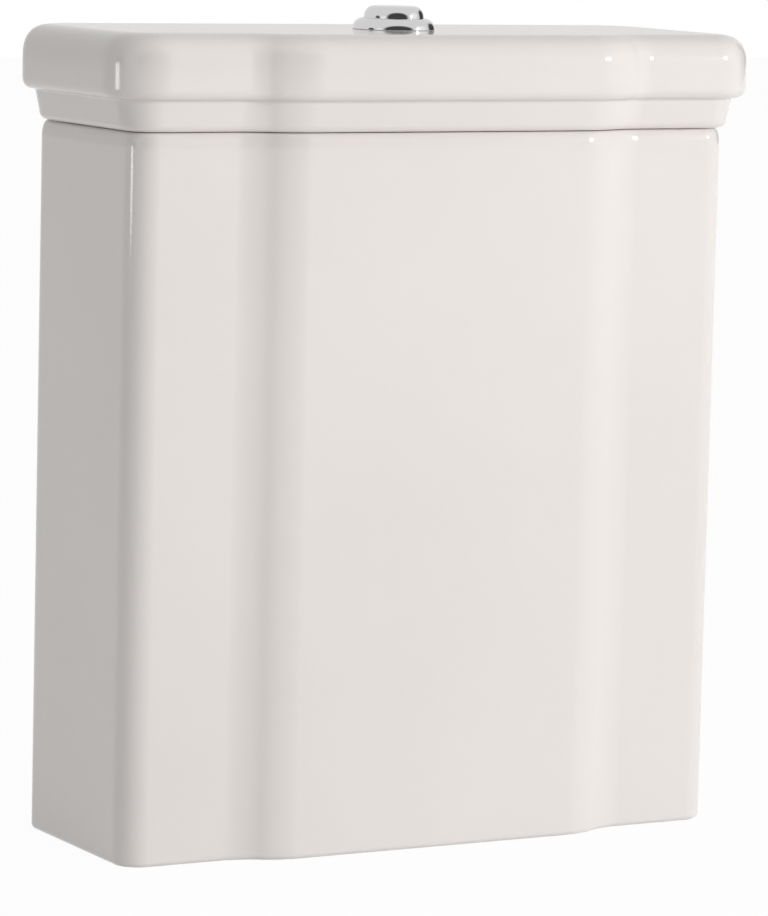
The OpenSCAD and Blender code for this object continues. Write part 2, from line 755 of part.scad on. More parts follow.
// Head of the tower: plate, collars on the posts and ears for the pivot pin
module tower_head() color("white") translate([0, axis_y, 0]) difference() {
  plate_y = post_y + post_t / 2 + slip + collar_t;
  collar_x = post_w / 2 + slip + collar_t;
  union() {
    translate([-collar_x, -plate_y, plate_z]) cube([collar_x + arm_short + hub_r, 2 * plate_y, plate_t]);
    for (side = [0, 1]) mirror([0, side, 0]) {
      translate([-collar_x, post_y - post_t / 2 - slip - collar_t, plate_z - collar_h])
        cube([2 * collar_x, post_t + 2 * slip + 2 * collar_t, collar_h]);
      translate([arm_short - hub_r, ear_y, plate_top - cut]) cube([2 * hub_r, ear_t, pivot_h + cut]);
      translate([arm_short, ear_y + ear_t / 2, pivot_z]) cross_bar(hub_r, ear_t);
    }
  }
  for (side = [0, 1]) mirror([0, side, 0])
    translate([-post_w / 2 - slip, post_y - post_t / 2 - slip, plate_z - collar_h - cut])
      cube([post_w + 2 * slip, post_t + 2 * slip, collar_h + cut]);
  translate([arm_short, 0, pivot_z]) cross_bar(pin_r + pin_gap, 2 * (ear_y + ear_t + cut));
}

// Lever pressed by the rod at its short end
module flush_lever() color("royalblue") translate([arm_short, axis_y, pivot_z])
  rotate([90, 0, 0]) linear_extrude(lever_w, center = true) difference() {
    union() {
      circle(hub_r);
      translate([-arm_short, 0]) circle(nose_short);
      translate([arm_long, 0]) circle(nose_long);
      bar([-arm_short, 0], [arm_long, 0], bar_t);
    }
    circle(pin_r + pin_gap);
  }

// Pin of the flush lever, with a head against one ear
module lever_pin() color("silver") translate([arm_short, axis_y, pivot_z]) {
  cross_bar(pin_r, 2 * (ear_y + ear_t));
  translate([0, -ear_y - ear_t - pin_head_t / 2, 0]) cross_bar(pin_head_r, pin_head_t);
}

// Threaded shank, flange and riser of the fill valve
module fill_body() color("white") translate([fill_x, fill_y, 0]) difference() {
  union() {
    translate([0, 0, shank_clear]) cylinder(r = shank_r, h = shank_free);
    translate([0, 0, groove_z]) cylinder(r = shank_r - groove_d, h = groove_h);
    translate([0, 0, groove_z + groove_h]) cylinder(r = shank_r, h = shank_top - groove_z - groove_h);
    translate([0, 0, shank_top]) cylinder(r = shank_flange_r, h = shank_flange_t);
    translate([0, 0, riser_z]) cylinder(r = riser_r, h = riser_top - riser_z);
  }
  translate([0, 0, shank_clear - cut]) cylinder(r = water_r, h = riser_top - shank_clear + 2 * cut);
}

// Rubber washer between the shank's flange and the floor
module inlet_washer() color("dimgray") translate([fill_x, fill_y, floor_top])
  ring(shank_flange_r, shank_r + slip, inlet_washer_t);

// Inlet nut below the floor
module inlet_nut() color("white") translate([fill_x, fill_y, skirt_h - inlet_nut_h]) difference() {
  cylinder(d = inlet_nut_w, h = inlet_nut_h, $fn = 6);
  translate([0, 0, -cut]) cylinder(r = shank_r + slip, h = inlet_nut_h + 2 * cut);
}

// Slotted strainer inside the shank
module inlet_strainer() color("lightgray") translate([fill_x, fill_y, shank_clear]) difference() {
  strainer_r = water_r - pin_gap;
  cylinder(r = strainer_r, h = strainer_h);
  translate([0, 0, -cut]) cylinder(r = strainer_r - strainer_t, h = strainer_h - strainer_t + cut);
  for (turn = [0, 60, 120]) rotate(turn)
    translate([-water_r - cut, -strainer_t / 2, 2 * strainer_t])
      cube([2 * (water_r + cut), strainer_t, strainer_h - 4 * strainer_t]);
}

// Valve head on the riser, with the side outlet that feeds the filling tube
module fill_head() color("white") translate([fill_x, fill_y, 0]) difference() {
  elbow_r = dip_r + slip + dip_t;
  union() {
    translate([0, 0, riser_top - socket_h]) cylinder(r = head_r, h = head_h + socket_h);
    translate([0, dip_y / 2, outlet_z]) cross_bar(dip_r, dip_y);
    translate([0, dip_y, riser_top - socket_h])
      cylinder(r = elbow_r, h = outlet_z + elbow_r - riser_top + socket_h);
  }
  translate([0, 0, riser_top - socket_h - cut]) cylinder(r = riser_r + pin_gap, h = socket_h + cut);
  translate([0, 0, riser_top - cut]) cylinder(r = water_r, h = head_h);
  translate([0, 0, riser_top + head_h / 2]) cylinder(r = head_r - head_wall, h = head_h);
  translate([0, dip_y, riser_top - socket_h - cut])
    cylinder(r = dip_r + pin_gap, h = socket_h - dip_t + cut);
}

// Cap over the diaphragm, with grip ribs, pilot nozzle and the float lever's ears
module fill_cap() color("lightgray") translate([fill_x, fill_y, 0]) difference() {
  union() {
    translate([0, 0, cap_z]) cylinder(r = cap_r, h = cap_t);
    translate([0, 0, cap_z - diaphragm_t - cap_skirt])
      cylinder(r = cap_r, h = diaphragm_t + cap_skirt);
    for (i = [0 : cap_ribs - 1]) rotate(360 * i / cap_ribs)
      translate([cap_r - cap_rib, -cap_rib / 2, cap_z - cap_skirt]) cube([2 * cap_rib, cap_rib, cap_skirt]);
    translate([float_pivot_x - float_nose, 0, cap_top]) cylinder(r = link_r, h = nozzle_h);
    for (side = [0, 1]) mirror([0, side, 0]) {
      translate([float_pivot_x - link_collar_r, float_ear_y, cap_top - cut])
        cube([2 * link_collar_r, ear_t, float_pivot_h + cut]);
      translate([float_pivot_x, float_ear_y + ear_t / 2, float_pivot_z]) cross_bar(link_collar_r, ear_t);
    }
  }
  translate([0, 0, cap_z - diaphragm_t - cap_skirt - cut])
    cylinder(r = head_r + slip, h = diaphragm_t + cap_skirt + cut);
  translate([float_pivot_x, 0, float_pivot_z]) cross_bar(pin_r + pin_gap, 2 * (float_ear_y + ear_t + cut));
}

// Rubber diaphragm between the head and its cap
module diaphragm() color("dimgray") translate([fill_x, fill_y, head_top])
  cylinder(r = head_r, h = diaphragm_t);

// Tube that fills the cistern quietly from below
module dip_tube() color("white") translate([fill_x, fill_y + dip_y, floor_top + dip_low])
  ring(dip_r, dip_r - dip_t, riser_top - dip_t - floor_top - dip_low);

// Float cup on the riser, open below, with the lug for its rod
module float_cup() color("gainsboro") translate([fill_x, fill_y, cup_low]) difference() {
  guide_r = riser_r + guide_gap;
  union() {
    difference() {
      cylinder(r = cup_r, h = cup_h);
      translate([0, 0, -cut]) cylinder(r = cup_r - cup_t, h = cup_h - cup_t + cut);
    }
    cylinder(r = guide_r + cup_t, h = cup_h);
    translate([cup_r - cup_t, -link_collar_r - cup_t, cup_h - lug_t])
      cube([link_x + link_collar_r + cup_t - cup_r + cup_t, 2 * (link_collar_r + cup_t), lug_t]);
  }
  translate([0, 0, -cut]) cylinder(r = guide_r, h = cup_h + 2 * cut);
  translate([link_x, 0, cup_h - lug_t - cut]) cylinder(r = link_r + pin_gap, h = lug_t + 2 * cut);
}

// Rod between the float cup and its lever, with collars above and below the lever's fork
module float_rod() color("silver") translate([fill_x + link_x, fill_y, 0]) {
  low = cup_top - lug_t - link_collar_t;
  high = link_z + link_room;
  translate([0, 0, low]) cylinder(r = link_r, h = high + link_collar_t - low);
  for (z = [low, cup_top, link_z - link_room - link_collar_t, high])
    translate([0, 0, z]) cylinder(r = link_collar_r, h = link_collar_t);
}

// Lever between the float's rod and the pilot nozzle
module float_lever() color("royalblue") translate([fill_x + float_pivot_x, fill_y, float_pivot_z])
  rotate([0, float_slope, 0]) difference() {
    rotate([90, 0, 0]) linear_extrude(float_bar_w, center = true) difference() {
      union() {
        circle(link_collar_r);
        bar([-float_nose - link_r, 0], [float_arm + link_collar_r, 0], float_bar_t);
      }
      circle(pin_r + pin_gap);
    }
    translate([float_arm - link_collar_r, -link_r - slip, -float_bar_t])
      cube([2 * link_collar_r + cut, 2 * (link_r + slip), 2 * float_bar_t]);
  }

// Pin of the float lever, with a head against one ear
module float_pin() color("silver") translate([fill_x + float_pivot_x, fill_y, float_pivot_z]) {
  cross_bar(pin_r, 2 * (float_ear_y + ear_t));
  translate([0, -float_ear_y - ear_t - pin_head_t / 2, 0]) cross_bar(pin_head_r, pin_head_t);
}

// Bolts that hold the cistern on the pan
module pan_bolts() color("goldenrod") for (side = [-1, 1])
  translate([side * bolt_pitch / 2, axis_y, 0]) {
    translate([0, 0, bolt_clear]) cylinder(r = bolt_r, h = bolt_nut_z - cut - bolt_clear);
    translate([0, 0, bolt_nut_z - 2 * cut]) cylinder(r = bolt_core, h = bolt_head_z - bolt_nut_z + 3 * cut);
    translate([0, 0, bolt_head_z]) difference() {
      cylinder(r = bolt_head_r, h = bolt_head_h);
      translate([-bolt_head_r - cut, -bolt_slot_w / 2, bolt_head_h - bolt_slot_d])
        cube([2 * (bolt_head_r + cut), bolt_slot_w, bolt_slot_d + cut]);
    }
  }

// Conical rubber seals below the bolt heads
module bolt_seals() color("dimgray") for (side = [-1, 1])
  translate([side * bolt_pitch / 2, axis_y, floor_top]) difference() {
    cylinder(r1 = bolt_seal_r, r2 = bolt_head_r + slip, h = bolt_seal_h);
    translate([0, 0, -cut]) cylinder(r = bolt_core + slip, h = bolt_seal_h + 2 * cut);
  }

// Plain washers below the floor
module bolt_washers() color("silver") for (side = [-1, 1])
  translate([side * bolt_pitch / 2, axis_y, skirt_h - bolt_washer_t])
    ring(bolt_washer_r, bolt_r + slip, bolt_washer_t);

// Nuts below those washers
module bolt_nuts() color("goldenrod") for (side = [-1, 1])
  translate([side * bolt_pitch / 2, axis_y, bolt_nut_z]) difference() {
    cylinder(d = bolt_nut_w, h = bolt_nut_h, $fn = 6);
    translate([0, 0, -cut]) cylinder(r = bolt_core + slip, h = bolt_nut_h + 2 * cut);
  }

tank();
lid();
lid_pads();
button_bezel();
bezel_nut();
push_button();
button_spring();
button_clip();
push_rod();
rod_nut();
valve_base();
base_washer();
base_nut();
coupling_gasket();
valve_cage();
overflow_tube();
valve_seal();
seal_clip();
valve_float();
lift_yoke();
tower_head();
flush_lever();
lever_pin();
fill_body();
inlet_washer();
inlet_nut();
inlet_strainer();
fill_head();
fill_cap();
diaphragm();
dip_tube();
float_cup();
float_rod();
float_lever();
float_pin();
pan_bolts();
bolt_seals();
bolt_washers();
bolt_nuts();
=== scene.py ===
import math

import bmesh
import bpy
from mathutils import Matrix, Vector


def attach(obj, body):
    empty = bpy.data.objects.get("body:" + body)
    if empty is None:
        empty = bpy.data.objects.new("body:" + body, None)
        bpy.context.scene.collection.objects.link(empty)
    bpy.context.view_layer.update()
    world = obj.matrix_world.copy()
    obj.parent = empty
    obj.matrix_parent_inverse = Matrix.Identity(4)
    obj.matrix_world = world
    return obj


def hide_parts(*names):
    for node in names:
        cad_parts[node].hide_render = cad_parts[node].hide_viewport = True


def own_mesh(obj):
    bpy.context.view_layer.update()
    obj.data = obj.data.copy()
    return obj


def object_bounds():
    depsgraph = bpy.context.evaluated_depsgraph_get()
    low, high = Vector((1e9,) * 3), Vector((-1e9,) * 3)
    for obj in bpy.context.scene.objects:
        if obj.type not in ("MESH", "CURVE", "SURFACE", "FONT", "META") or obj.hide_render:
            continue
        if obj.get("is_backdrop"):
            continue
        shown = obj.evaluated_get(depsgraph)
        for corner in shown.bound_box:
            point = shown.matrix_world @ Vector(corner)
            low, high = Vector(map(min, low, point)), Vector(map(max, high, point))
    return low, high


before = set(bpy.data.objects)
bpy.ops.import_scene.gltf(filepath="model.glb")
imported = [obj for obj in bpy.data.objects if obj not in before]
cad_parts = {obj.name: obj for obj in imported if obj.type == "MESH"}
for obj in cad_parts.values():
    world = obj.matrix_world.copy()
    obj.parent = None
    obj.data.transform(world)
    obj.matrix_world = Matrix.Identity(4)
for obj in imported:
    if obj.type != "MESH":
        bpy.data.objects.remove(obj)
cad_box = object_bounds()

scene = bpy.context.scene
scene.view_settings.view_transform = "Standard"

# Camera
# A long lens stands three metres off, left of the front and a little above the
# lid, and is held about a degree off level.
PICTURE_TALL_PX = 916
FOCAL_PX = 4826.92
CAMERA_PLACE = Vector((-1.29340, -2.35609, 0.54853))
yaw, pitch, roll = (math.radians(a) for a in (28.7017, 7.1721, 1.3717))

camera_data = bpy.data.cameras.new("camera")
camera_data.sensor_width = 36.0
camera_data.lens = camera_data.sensor_width * FOCAL_PX / PICTURE_TALL_PX
camera = bpy.data.objects.new("camera", camera_data)
look = Vector((math.sin(yaw) * math.cos(pitch), math.cos(yaw) * math.cos(pitch), -math.sin(pitch)))
level = Vector((math.cos(yaw), -math.sin(yaw), 0.0))
upright = level.cross(look)
across = level * math.cos(roll) + upright * math.sin(roll)
upward = upright * math.cos(roll) - level * math.sin(roll)
turn = Matrix((across, upward, -look)).transposed().to_4x4()
camera.matrix_world = Matrix.Translation(CAMERA_PLACE) @ turn
scene.collection.objects.link(camera)
scene.camera = camera

# Floor and light
# A plain white studio: a wide floor that fades to white and keeps a faint shadow, two
# lights from the front right and weak ones from the left and above. The room's dark
# corners and windows show only in glossy surfaces.
FLOOR_DROP = 0.0003
MIDDLE = Vector((0.0, 0.0, 0.24))


def seen_directly(nodes, links, share):
    """Socket that is share for rays from the camera, a gloss or clear stuff, and 0 for the rest."""
    path = nodes.new("ShaderNodeLightPath")
    first = nodes.new("ShaderNodeMath")
    second = nodes.new("ShaderNodeMath")
    scaled = nodes.new("ShaderNodeMath")
    first.operation = second.operation = "MAXIMUM"
    scaled.operation = "MULTIPLY"
    scaled.inputs[1].default_value = share
    links.new(path.outputs["Is Camera Ray"], first.inputs[0])
    links.new(path.outputs["Is Glossy Ray"], first.inputs[1])
    links.new(first.outputs[0], second.inputs[0])
    links.new(path.outputs["Is Transmission Ray"], second.inputs[1])
    links.new(second.outputs[0], scaled.inputs[0])
    return scaled.outputs[0], path.outputs["Is Glossy Ray"]


def toward(bearing, height):
    """Unit vector to a bearing, counted to the right from the front, and a height, both in degrees."""
    bearing, height = math.radians(bearing), math.radians(height)
    level_share = math.cos(height)
    return Vector((math.sin(bearing) * level_share, -math.cos(bearing) * level_share, math.sin(height)))


floor_bm = bmesh.new()
bmesh.ops.create_grid(floor_bm, x_segments=1, y_segments=1, size=9.0)
bmesh.ops.translate(floor_bm, vec=(0.0, 0.0, -FLOOR_DROP), verts=floor_bm.verts)
floor_mesh = bpy.data.meshes.new("floor")
floor_bm.to_mesh(floor_mesh)
floor_bm.free()
floor = bpy.data.objects.new("floor", floor_mesh)
scene.collection.objects.link(floor)
floor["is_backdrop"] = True

paper = bpy.data.materials.new("white_floor")
paper.use_nodes = True
nodes, links = paper.node_tree.nodes, paper.node_tree.links
matt = nodes["Principled BSDF"]
matt.inputs["Base Color"].default_value = (0.84, 0.84, 0.84, 1.0)
matt.inputs["Roughness"].default_value = 0.7
glow = nodes.new("ShaderNodeEmission")
glow.inputs["Color"].default_value = (1.0, 1.0, 1.0, 1.0)
glow.inputs["Strength"].default_value = 1.0
fade = nodes.new("ShaderNodeMixShader")
seen, _ = seen_directly(nodes, links, 0.96)
links.new(seen, fade.inputs[0])
links.new(matt.outputs[0], fade.inputs[1])
links.new(glow.outputs[0], fade.inputs[2])
links.new(fade.outputs[0], nodes["Material Output"].inputs["Surface"])
floor_mesh.materials.append(paper)

room = bpy.data.worlds.new("studio")
scene.world = room
room.use_nodes = True
nodes, links = room.node_tree.nodes, room.node_tree.links
ambient = nodes["Background"]
ambient.inputs["Color"].default_value = (1.0, 0.99, 0.97, 1.0)
ambient.inputs["Strength"].default_value = 0.40
white = nodes.new("ShaderNodeBackground")
white.inputs["Strength"].default_value = 1.0
sight = nodes.new("ShaderNodeTexCoord")
backdrop = nodes.new("ShaderNodeRGB")
backdrop.outputs[0].default_value = (0.81, 0.805, 0.80, 1.0)
mirrored_room = backdrop.outputs[0]
for bearing, height, near, far, colour in (
    (-14.0, 2.0, 36.0, 46.0, (0.06, 0.06, 0.063, 1.0)),
    (108.0, 6.0, 15.0, 23.0, (0.06, 0.06, 0.063, 1.0)),
    (-94.0, 4.0, 7.0, 11.0, (0.06, 0.06, 0.063, 1.0)),
    (58.0, 16.0, 14.0, 19.0, (1.0, 1.0, 1.0, 1.0)),
    (-70.0, 5.0, 7.0, 11.0, (1.0, 1.0, 1.0, 1.0)),
):
    facing = nodes.new("ShaderNodeVectorMath")
    facing.operation = "DOT_PRODUCT"
    facing.inputs[1].default_value = toward(bearing, height)
    edge = nodes.new("ShaderNodeMapRange")
    edge.inputs["From Min"].default_value = math.cos(math.radians(far))
    edge.inputs["From Max"].default_value = math.cos(math.radians(near))
    patch = nodes.new("ShaderNodeMix")
    patch.data_type = "RGBA"
    patch.inputs["B"].default_value = colour
    links.new(mirrored_room, patch.inputs["A"])
    links.new(sight.outputs["Generated"], facing.inputs[0])
    links.new(facing.outputs["Value"], edge.inputs["Value"])
    links.new(edge.outputs["Result"], patch.inputs["Factor"])
    mirrored_room = patch.outputs["Result"]
tone = nodes.new("ShaderNodeMix")
tone.data_type = "RGBA"
tone.inputs["A"].default_value = (1.0, 1.0, 1.0, 1.0)
both = nodes.new("ShaderNodeMixShader")
seen, glossy = seen_directly(nodes, links, 1.0)
links.new(glossy, tone.inputs["Factor"])
links.new(mirrored_room, tone.inputs["B"])
links.new(tone.outputs["Result"], white.inputs["Color"])
links.new(seen, both.inputs[0])
links.new(ambient.outputs[0], both.inputs[1])
links.new(white.outputs[0], both.inputs[2])
links.new(both.outputs[0], nodes["World Output"].inputs["Surface"])

for name, bearing, height, reach, size, power, mirrored in (
    ("key_light", 43.2, 16.0, 2.7, 0.36, 12.0, True),
    ("soft_light", 24.0, 9.0, 2.6, 1.5, 28.0, False),
    ("side_light", -95.0, 5.0, 1.3, 0.22, 0.7, True),
    ("top_light", 20.0, 80.0, 2.0, 1.5, 4.0, False),
):
    lamp_data = bpy.data.lights.new(name, "AREA")
    lamp_data.shape = "DISK"
    lamp_data.size = size
    lamp_data.energy = power
    lamp_data.color = (1.0, 0.985, 0.96)
    lamp = bpy.data.objects.new(name, lamp_data)
    away = toward(bearing, height)
    aim = away.to_track_quat("Z", "Y").to_matrix().to_4x4()
    lamp.matrix_world = Matrix.Translation(MIDDLE + away * reach) @ aim
    lamp.visible_glossy = mirrored
    scene.collection.objects.link(lamp)

# Tank
# The tank is one slip-cast shell of vitreous china: side wings, a centre panel that
# stands out between two S-shaped steps, and a raised floor above an open skirt.
# It is glazed white all over except for the ring it stands on.
MM = 0.001
HALF_W = 186.0
BACK_Y = 77.0
WING_Y = -52.0
PANEL_Y = -63.0
STEP_R = 38.5067
STEP_TAN = math.tan(math.radians(15.5))
PANEL_X = 86.1676
WING_X = 125.8324
FRONT_R = 15.0
TANK_BACK_R = 12.0
TANK_WALL = 10.0
TANK_H = 397.0
SLOPE = 0.05
SKIRT_H = 46.0
FLOOR_TOP = 58.0
FOOT_R = 3.0
RIM_WIDE = 3.0
RIM_TALL = 9.0
RIM_INNER_R = 2.5
FLOOR_R = 8.0
OUTLET_HOLE_R = 31.3
INLET_HOLE_R = 11.98
BOLT_HOLE_R = 5.5
WALL_HOLE_R = 4.5
WALL_HOLE_X = 110.0
WALL_HOLE_Z = 363.0
ARCH_HALF_W = 28.0
ARCH_REACH = 36.0
CUT_PAST = 4.0
AXIS_Y = 7.0
FILL_X = -138.0
FILL_Y = 12.5
BOLT_X = 80.0


def china_line(bm, out, back, back_round, z):
    """Draws the stepped plan at height z, moved out by out, with its back at back, and returns its edges."""
    bulge, hollow = (STEP_R + out) * STEP_TAN, (STEP_R - out) * STEP_TAN
    corners = (
        (PANEL_X + bulge, PANEL_Y - out, bulge, 9),
        (WING_X - hollow, WING_Y - out, hollow, 9),
        (HALF_W + out, WING_Y - out, max(FRONT_R + out, 1.0), 12),
        (HALF_W + out, back, back_round, 10),
    )
    before = set(bm.edges)
    right = [bm.verts.new((x, y, z)) for x, y, _, _ in corners]
    left = [bm.verts.new((-x, y, z)) for x, y, _, _ in corners]
    bm.faces.new(right + left[::-1])
    for (_, _, reach, steps), one, other in zip(corners, right, left):
        bmesh.ops.bevel(
            bm, geom=[one, other], offset=reach, offset_type="OFFSET", segments=steps,
            profile=0.5, affect="VERTICES", clamp_overlap=False, material=-1,
        )
    line = [e for e in bm.edges if e not in before]
    bmesh.ops.delete(bm, geom=list({f for e in line for f in e.link_faces}), context="FACES_ONLY")
    bmesh.ops.remove_doubles(bm, verts=list({v for e in line for v in e.verts}), dist=0.02)
    return [e for e in bm.edges if e not in before]


def arc(out, z, r, start, end, steps):
    """Points [out, z] along a rounded edge of a china section, with angles in degrees."""
    turns = [math.radians(start + (end - start) * i / steps) for i in range(steps + 1)]
    return [(out + r * math.cos(a), z + r * math.sin(a)) for a in turns]


def soft(out, z, wide, tall, full, steps):
    """Points [out, z] along an edge that is fuller than a round one, from the face to the top."""
    turns = [math.radians(90.0 * i / steps) for i in range(steps + 1)]
    return [
        (out + wide * max(math.cos(a), 0.0) ** (2.0 / full), z + tall * math.sin(a) ** (2.0 / full))
        for a in turns
    ]


def loft(bm, lines):
    """Joins each line to the next one and closes the first and the last with a face."""
    for one, other in zip(lines, lines[1:]):
        bmesh.ops.bridge_loops(bm, edges=one + other)
    for end in (lines[0], lines[-1]):
        bmesh.ops.contextual_create(bm, geom=end)


def verts_of(geom):
    """The points among the parts of a shape that an operator returns."""
    return [part for part in geom if isinstance(part, bmesh.types.BMVert)]


def to_object(name, bm):
    """Merges and scales a shape drawn in millimetres and links it as an object."""
    bmesh.ops.remove_doubles(bm, verts=bm.verts, dist=0.002)
    bmesh.ops.recalc_face_normals(bm, faces=bm.faces)
    bmesh.ops.scale(bm, vec=(MM, MM, MM), verts=bm.verts)
    mesh = bpy.data.meshes.new(name)
    bm.to_mesh(mesh)
    bm.free()
    piece = bpy.data.objects.new(name, mesh)
    scene.collection.objects.link(piece)
    return piece


def carve(piece, tool, operation):
    """Cuts the tool's shape from a piece, or joins it on, and drops the tool."""
    step = piece.modifiers.new("carve", "BOOLEAN")
    step.operation = operation
    step.solver = "EXACT"
    step.object = tool
    graph = bpy.context.evaluated_depsgraph_get()
    mesh = bpy.data.meshes.new_from_object(piece.evaluated_get(graph))
    piece.modifiers.clear()
    piece.data = mesh
    bpy.data.objects.remove(tool)


def dress(piece, finish, body, slot, *nodes, crease=30.0):
    """Shades a piece, gives it its finish, ties it to the body and hides the solids that it stands for."""
    mesh = piece.data
    mesh.materials.clear()
    mesh.materials.append(finish)
    mesh.shade_smooth()
    mesh.set_sharp_from_angle(angle=math.radians(crease))
    flats = piece.modifiers.new("flats", "WEIGHTED_NORMAL")
    flats.keep_sharp = True
    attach(piece, body)
    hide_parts(*nodes)
    return piece


def post(bm, x, y, low, high, r, axis="Z", steps=48):
    """A round bar between two heights, or between two depths for axis Y."""
    made = bmesh.ops.create_cone(
        bm, cap_ends=True, segments=steps, radius1=r, radius2=r, depth=high - low,
        matrix=Matrix.Rotation(math.radians(90.0), 4, "X") if axis == "Y" else Matrix.Identity(4),
    )["verts"]
    centre = (x, (low + high) / 2, y) if axis == "Y" else (x, y, (low + high) / 2)
    bmesh.ops.translate(bm, vec=centre, verts=made)
    return made


china = bpy.data.materials.new("white_china")
china.use_nodes = True
nodes, links = china.node_tree.nodes, china.node_tree.links
glaze = nodes["Principled BSDF"]
glaze.inputs["IOR"].default_value = 1.52
glaze.inputs["Coat Weight"].default_value = 0.25
glaze.inputs["Coat Roughness"].default_value = 0.06
spot = nodes.new("ShaderNodeTexCoord")
cloud = nodes.new("ShaderNodeTexNoise")
cloud.inputs["Scale"].default_value = 7.0
cloud.inputs["Detail"].default_value = 3.0
tint = nodes.new("ShaderNodeValToRGB")
tint.color_ramp.elements[0].position = 0.3
tint.color_ramp.elements[0].color = (0.775, 0.743, 0.731, 1.0)
tint.color_ramp.elements[1].position = 0.7
tint.color_ramp.elements[1].color = (0.797, 0.765, 0.753, 1.0)
ripple = nodes.new("ShaderNodeTexNoise")
ripple.inputs["Scale"].default_value = 22.0
ripple.inputs["Detail"].default_value = 1.0
sheen_span = nodes.new("ShaderNodeMapRange")
sheen_span.inputs["To Min"].default_value = 0.09
sheen_span.inputs["To Max"].default_value = 0.15
height = nodes.new("ShaderNodeSeparateXYZ")
bare_foot = nodes.new("ShaderNodeMapRange")
bare_foot.inputs["From Min"].default_value = 0.0003
bare_foot.inputs["From Max"].default_value = 0.0008
bare_foot.inputs["To Min"].default_value = 0.8
bare_foot.inputs["To Max"].default_value = 0.0
rougher = nodes.new("ShaderNodeMath")
rougher.operation = "MAXIMUM"
wave = nodes.new("ShaderNodeBump")
wave.inputs["Strength"].default_value = 0.35
wave.inputs["Distance"].default_value = 0.0006
links.new(spot.outputs["Object"], cloud.inputs["Vector"])
links.new(spot.outputs["Object"], ripple.inputs["Vector"])
links.new(cloud.outputs["Fac"], tint.inputs["Fac"])
links.new(tint.outputs["Color"], glaze.inputs["Base Color"])
links.new(cloud.outputs["Fac"], sheen_span.inputs["Value"])
links.new(spot.outputs["Object"], height.inputs[0])
links.new(height.outputs["Z"], bare_foot.inputs["Value"])
links.new(sheen_span.outputs["Result"], rougher.inputs[0])
links.new(bare_foot.outputs["Result"], rougher.inputs[1])
links.new(rougher.outputs[0], glaze.inputs["Roughness"])
links.new(ripple.outputs["Fac"], wave.inputs["Height"])
links.new(wave.outputs["Normal"], glaze.inputs["Normal"])

bm = bmesh.new()
section = arc(-14.0, 42.0, 4.0, 90.0, 0.0, 4) + arc(-8.0, 2.0 + SLOPE, 2.0, 180.0, 270.0, 4)
section += arc(-FOOT_R, FOOT_R, FOOT_R, 270.0, 360.0, 5)
section += soft(-RIM_WIDE, TANK_H - RIM_TALL, RIM_WIDE, RIM_TALL, 2.0, 8)
section += arc(RIM_INNER_R - TANK_WALL, TANK_H - RIM_INNER_R - SLOPE, RIM_INNER_R, 90.0, 180.0, 4)
section += arc(-TANK_WALL - FLOOR_R, FLOOR_TOP + FLOOR_R, FLOOR_R, 360.0, 270.0, 6)
loft(bm, [china_line(bm, out, BACK_Y + out, max(TANK_BACK_R + out, 1.0), z) for out, z in section])
tank = to_object("china_tank", bm)

bm = bmesh.new()
for x, y, r in (
    (0.0, AXIS_Y, OUTLET_HOLE_R), (FILL_X, FILL_Y, INLET_HOLE_R),
    (-BOLT_X, AXIS_Y, BOLT_HOLE_R), (BOLT_X, AXIS_Y, BOLT_HOLE_R),
):
    post(bm, x, y, SKIRT_H - 6.0, FLOOR_TOP + 6.0, r)
for x in (-WALL_HOLE_X, WALL_HOLE_X):
    post(bm, x, WALL_HOLE_Z, BACK_Y - TANK_WALL - CUT_PAST, BACK_Y + CUT_PAST, WALL_HOLE_R, axis="Y")
carve(tank, to_object("floor_and_wall_holes", bm), "DIFFERENCE")
bm = bmesh.new()
arch = [
    bm.verts.new((FILL_X + x, BACK_Y + CUT_PAST, z)) for x, z in (
        (-ARCH_HALF_W, -CUT_PAST), (ARCH_HALF_W, -CUT_PAST), (ARCH_HALF_W, ARCH_REACH),
        (-ARCH_HALF_W, ARCH_REACH),
    )
]
bm.faces.new(arch)
bmesh.ops.bevel(
    bm, geom=arch[2:], offset=ARCH_HALF_W - 0.01, offset_type="OFFSET", segments=14,
    profile=0.5, affect="VERTICES", clamp_overlap=False, material=-1,
)
mouth = bmesh.ops.extrude_face_region(bm, geom=bm.faces[:])["geom"]
bmesh.ops.translate(bm, vec=(0.0, -TANK_WALL - 2.0 * CUT_PAST, 0.0), verts=verts_of(mouth))
bmesh.ops.holes_fill(bm, edges=bm.edges, sides=0)
carve(tank, to_object("hose_arch", bm), "DIFFERENCE")
dress(tank, china, "tank", "china", "tank")

# Valve base
# The flush valve's base is one white plastic moulding: a threaded tail that passes
# down through the tank's floor, a flange on a washer, and a raised round seat.


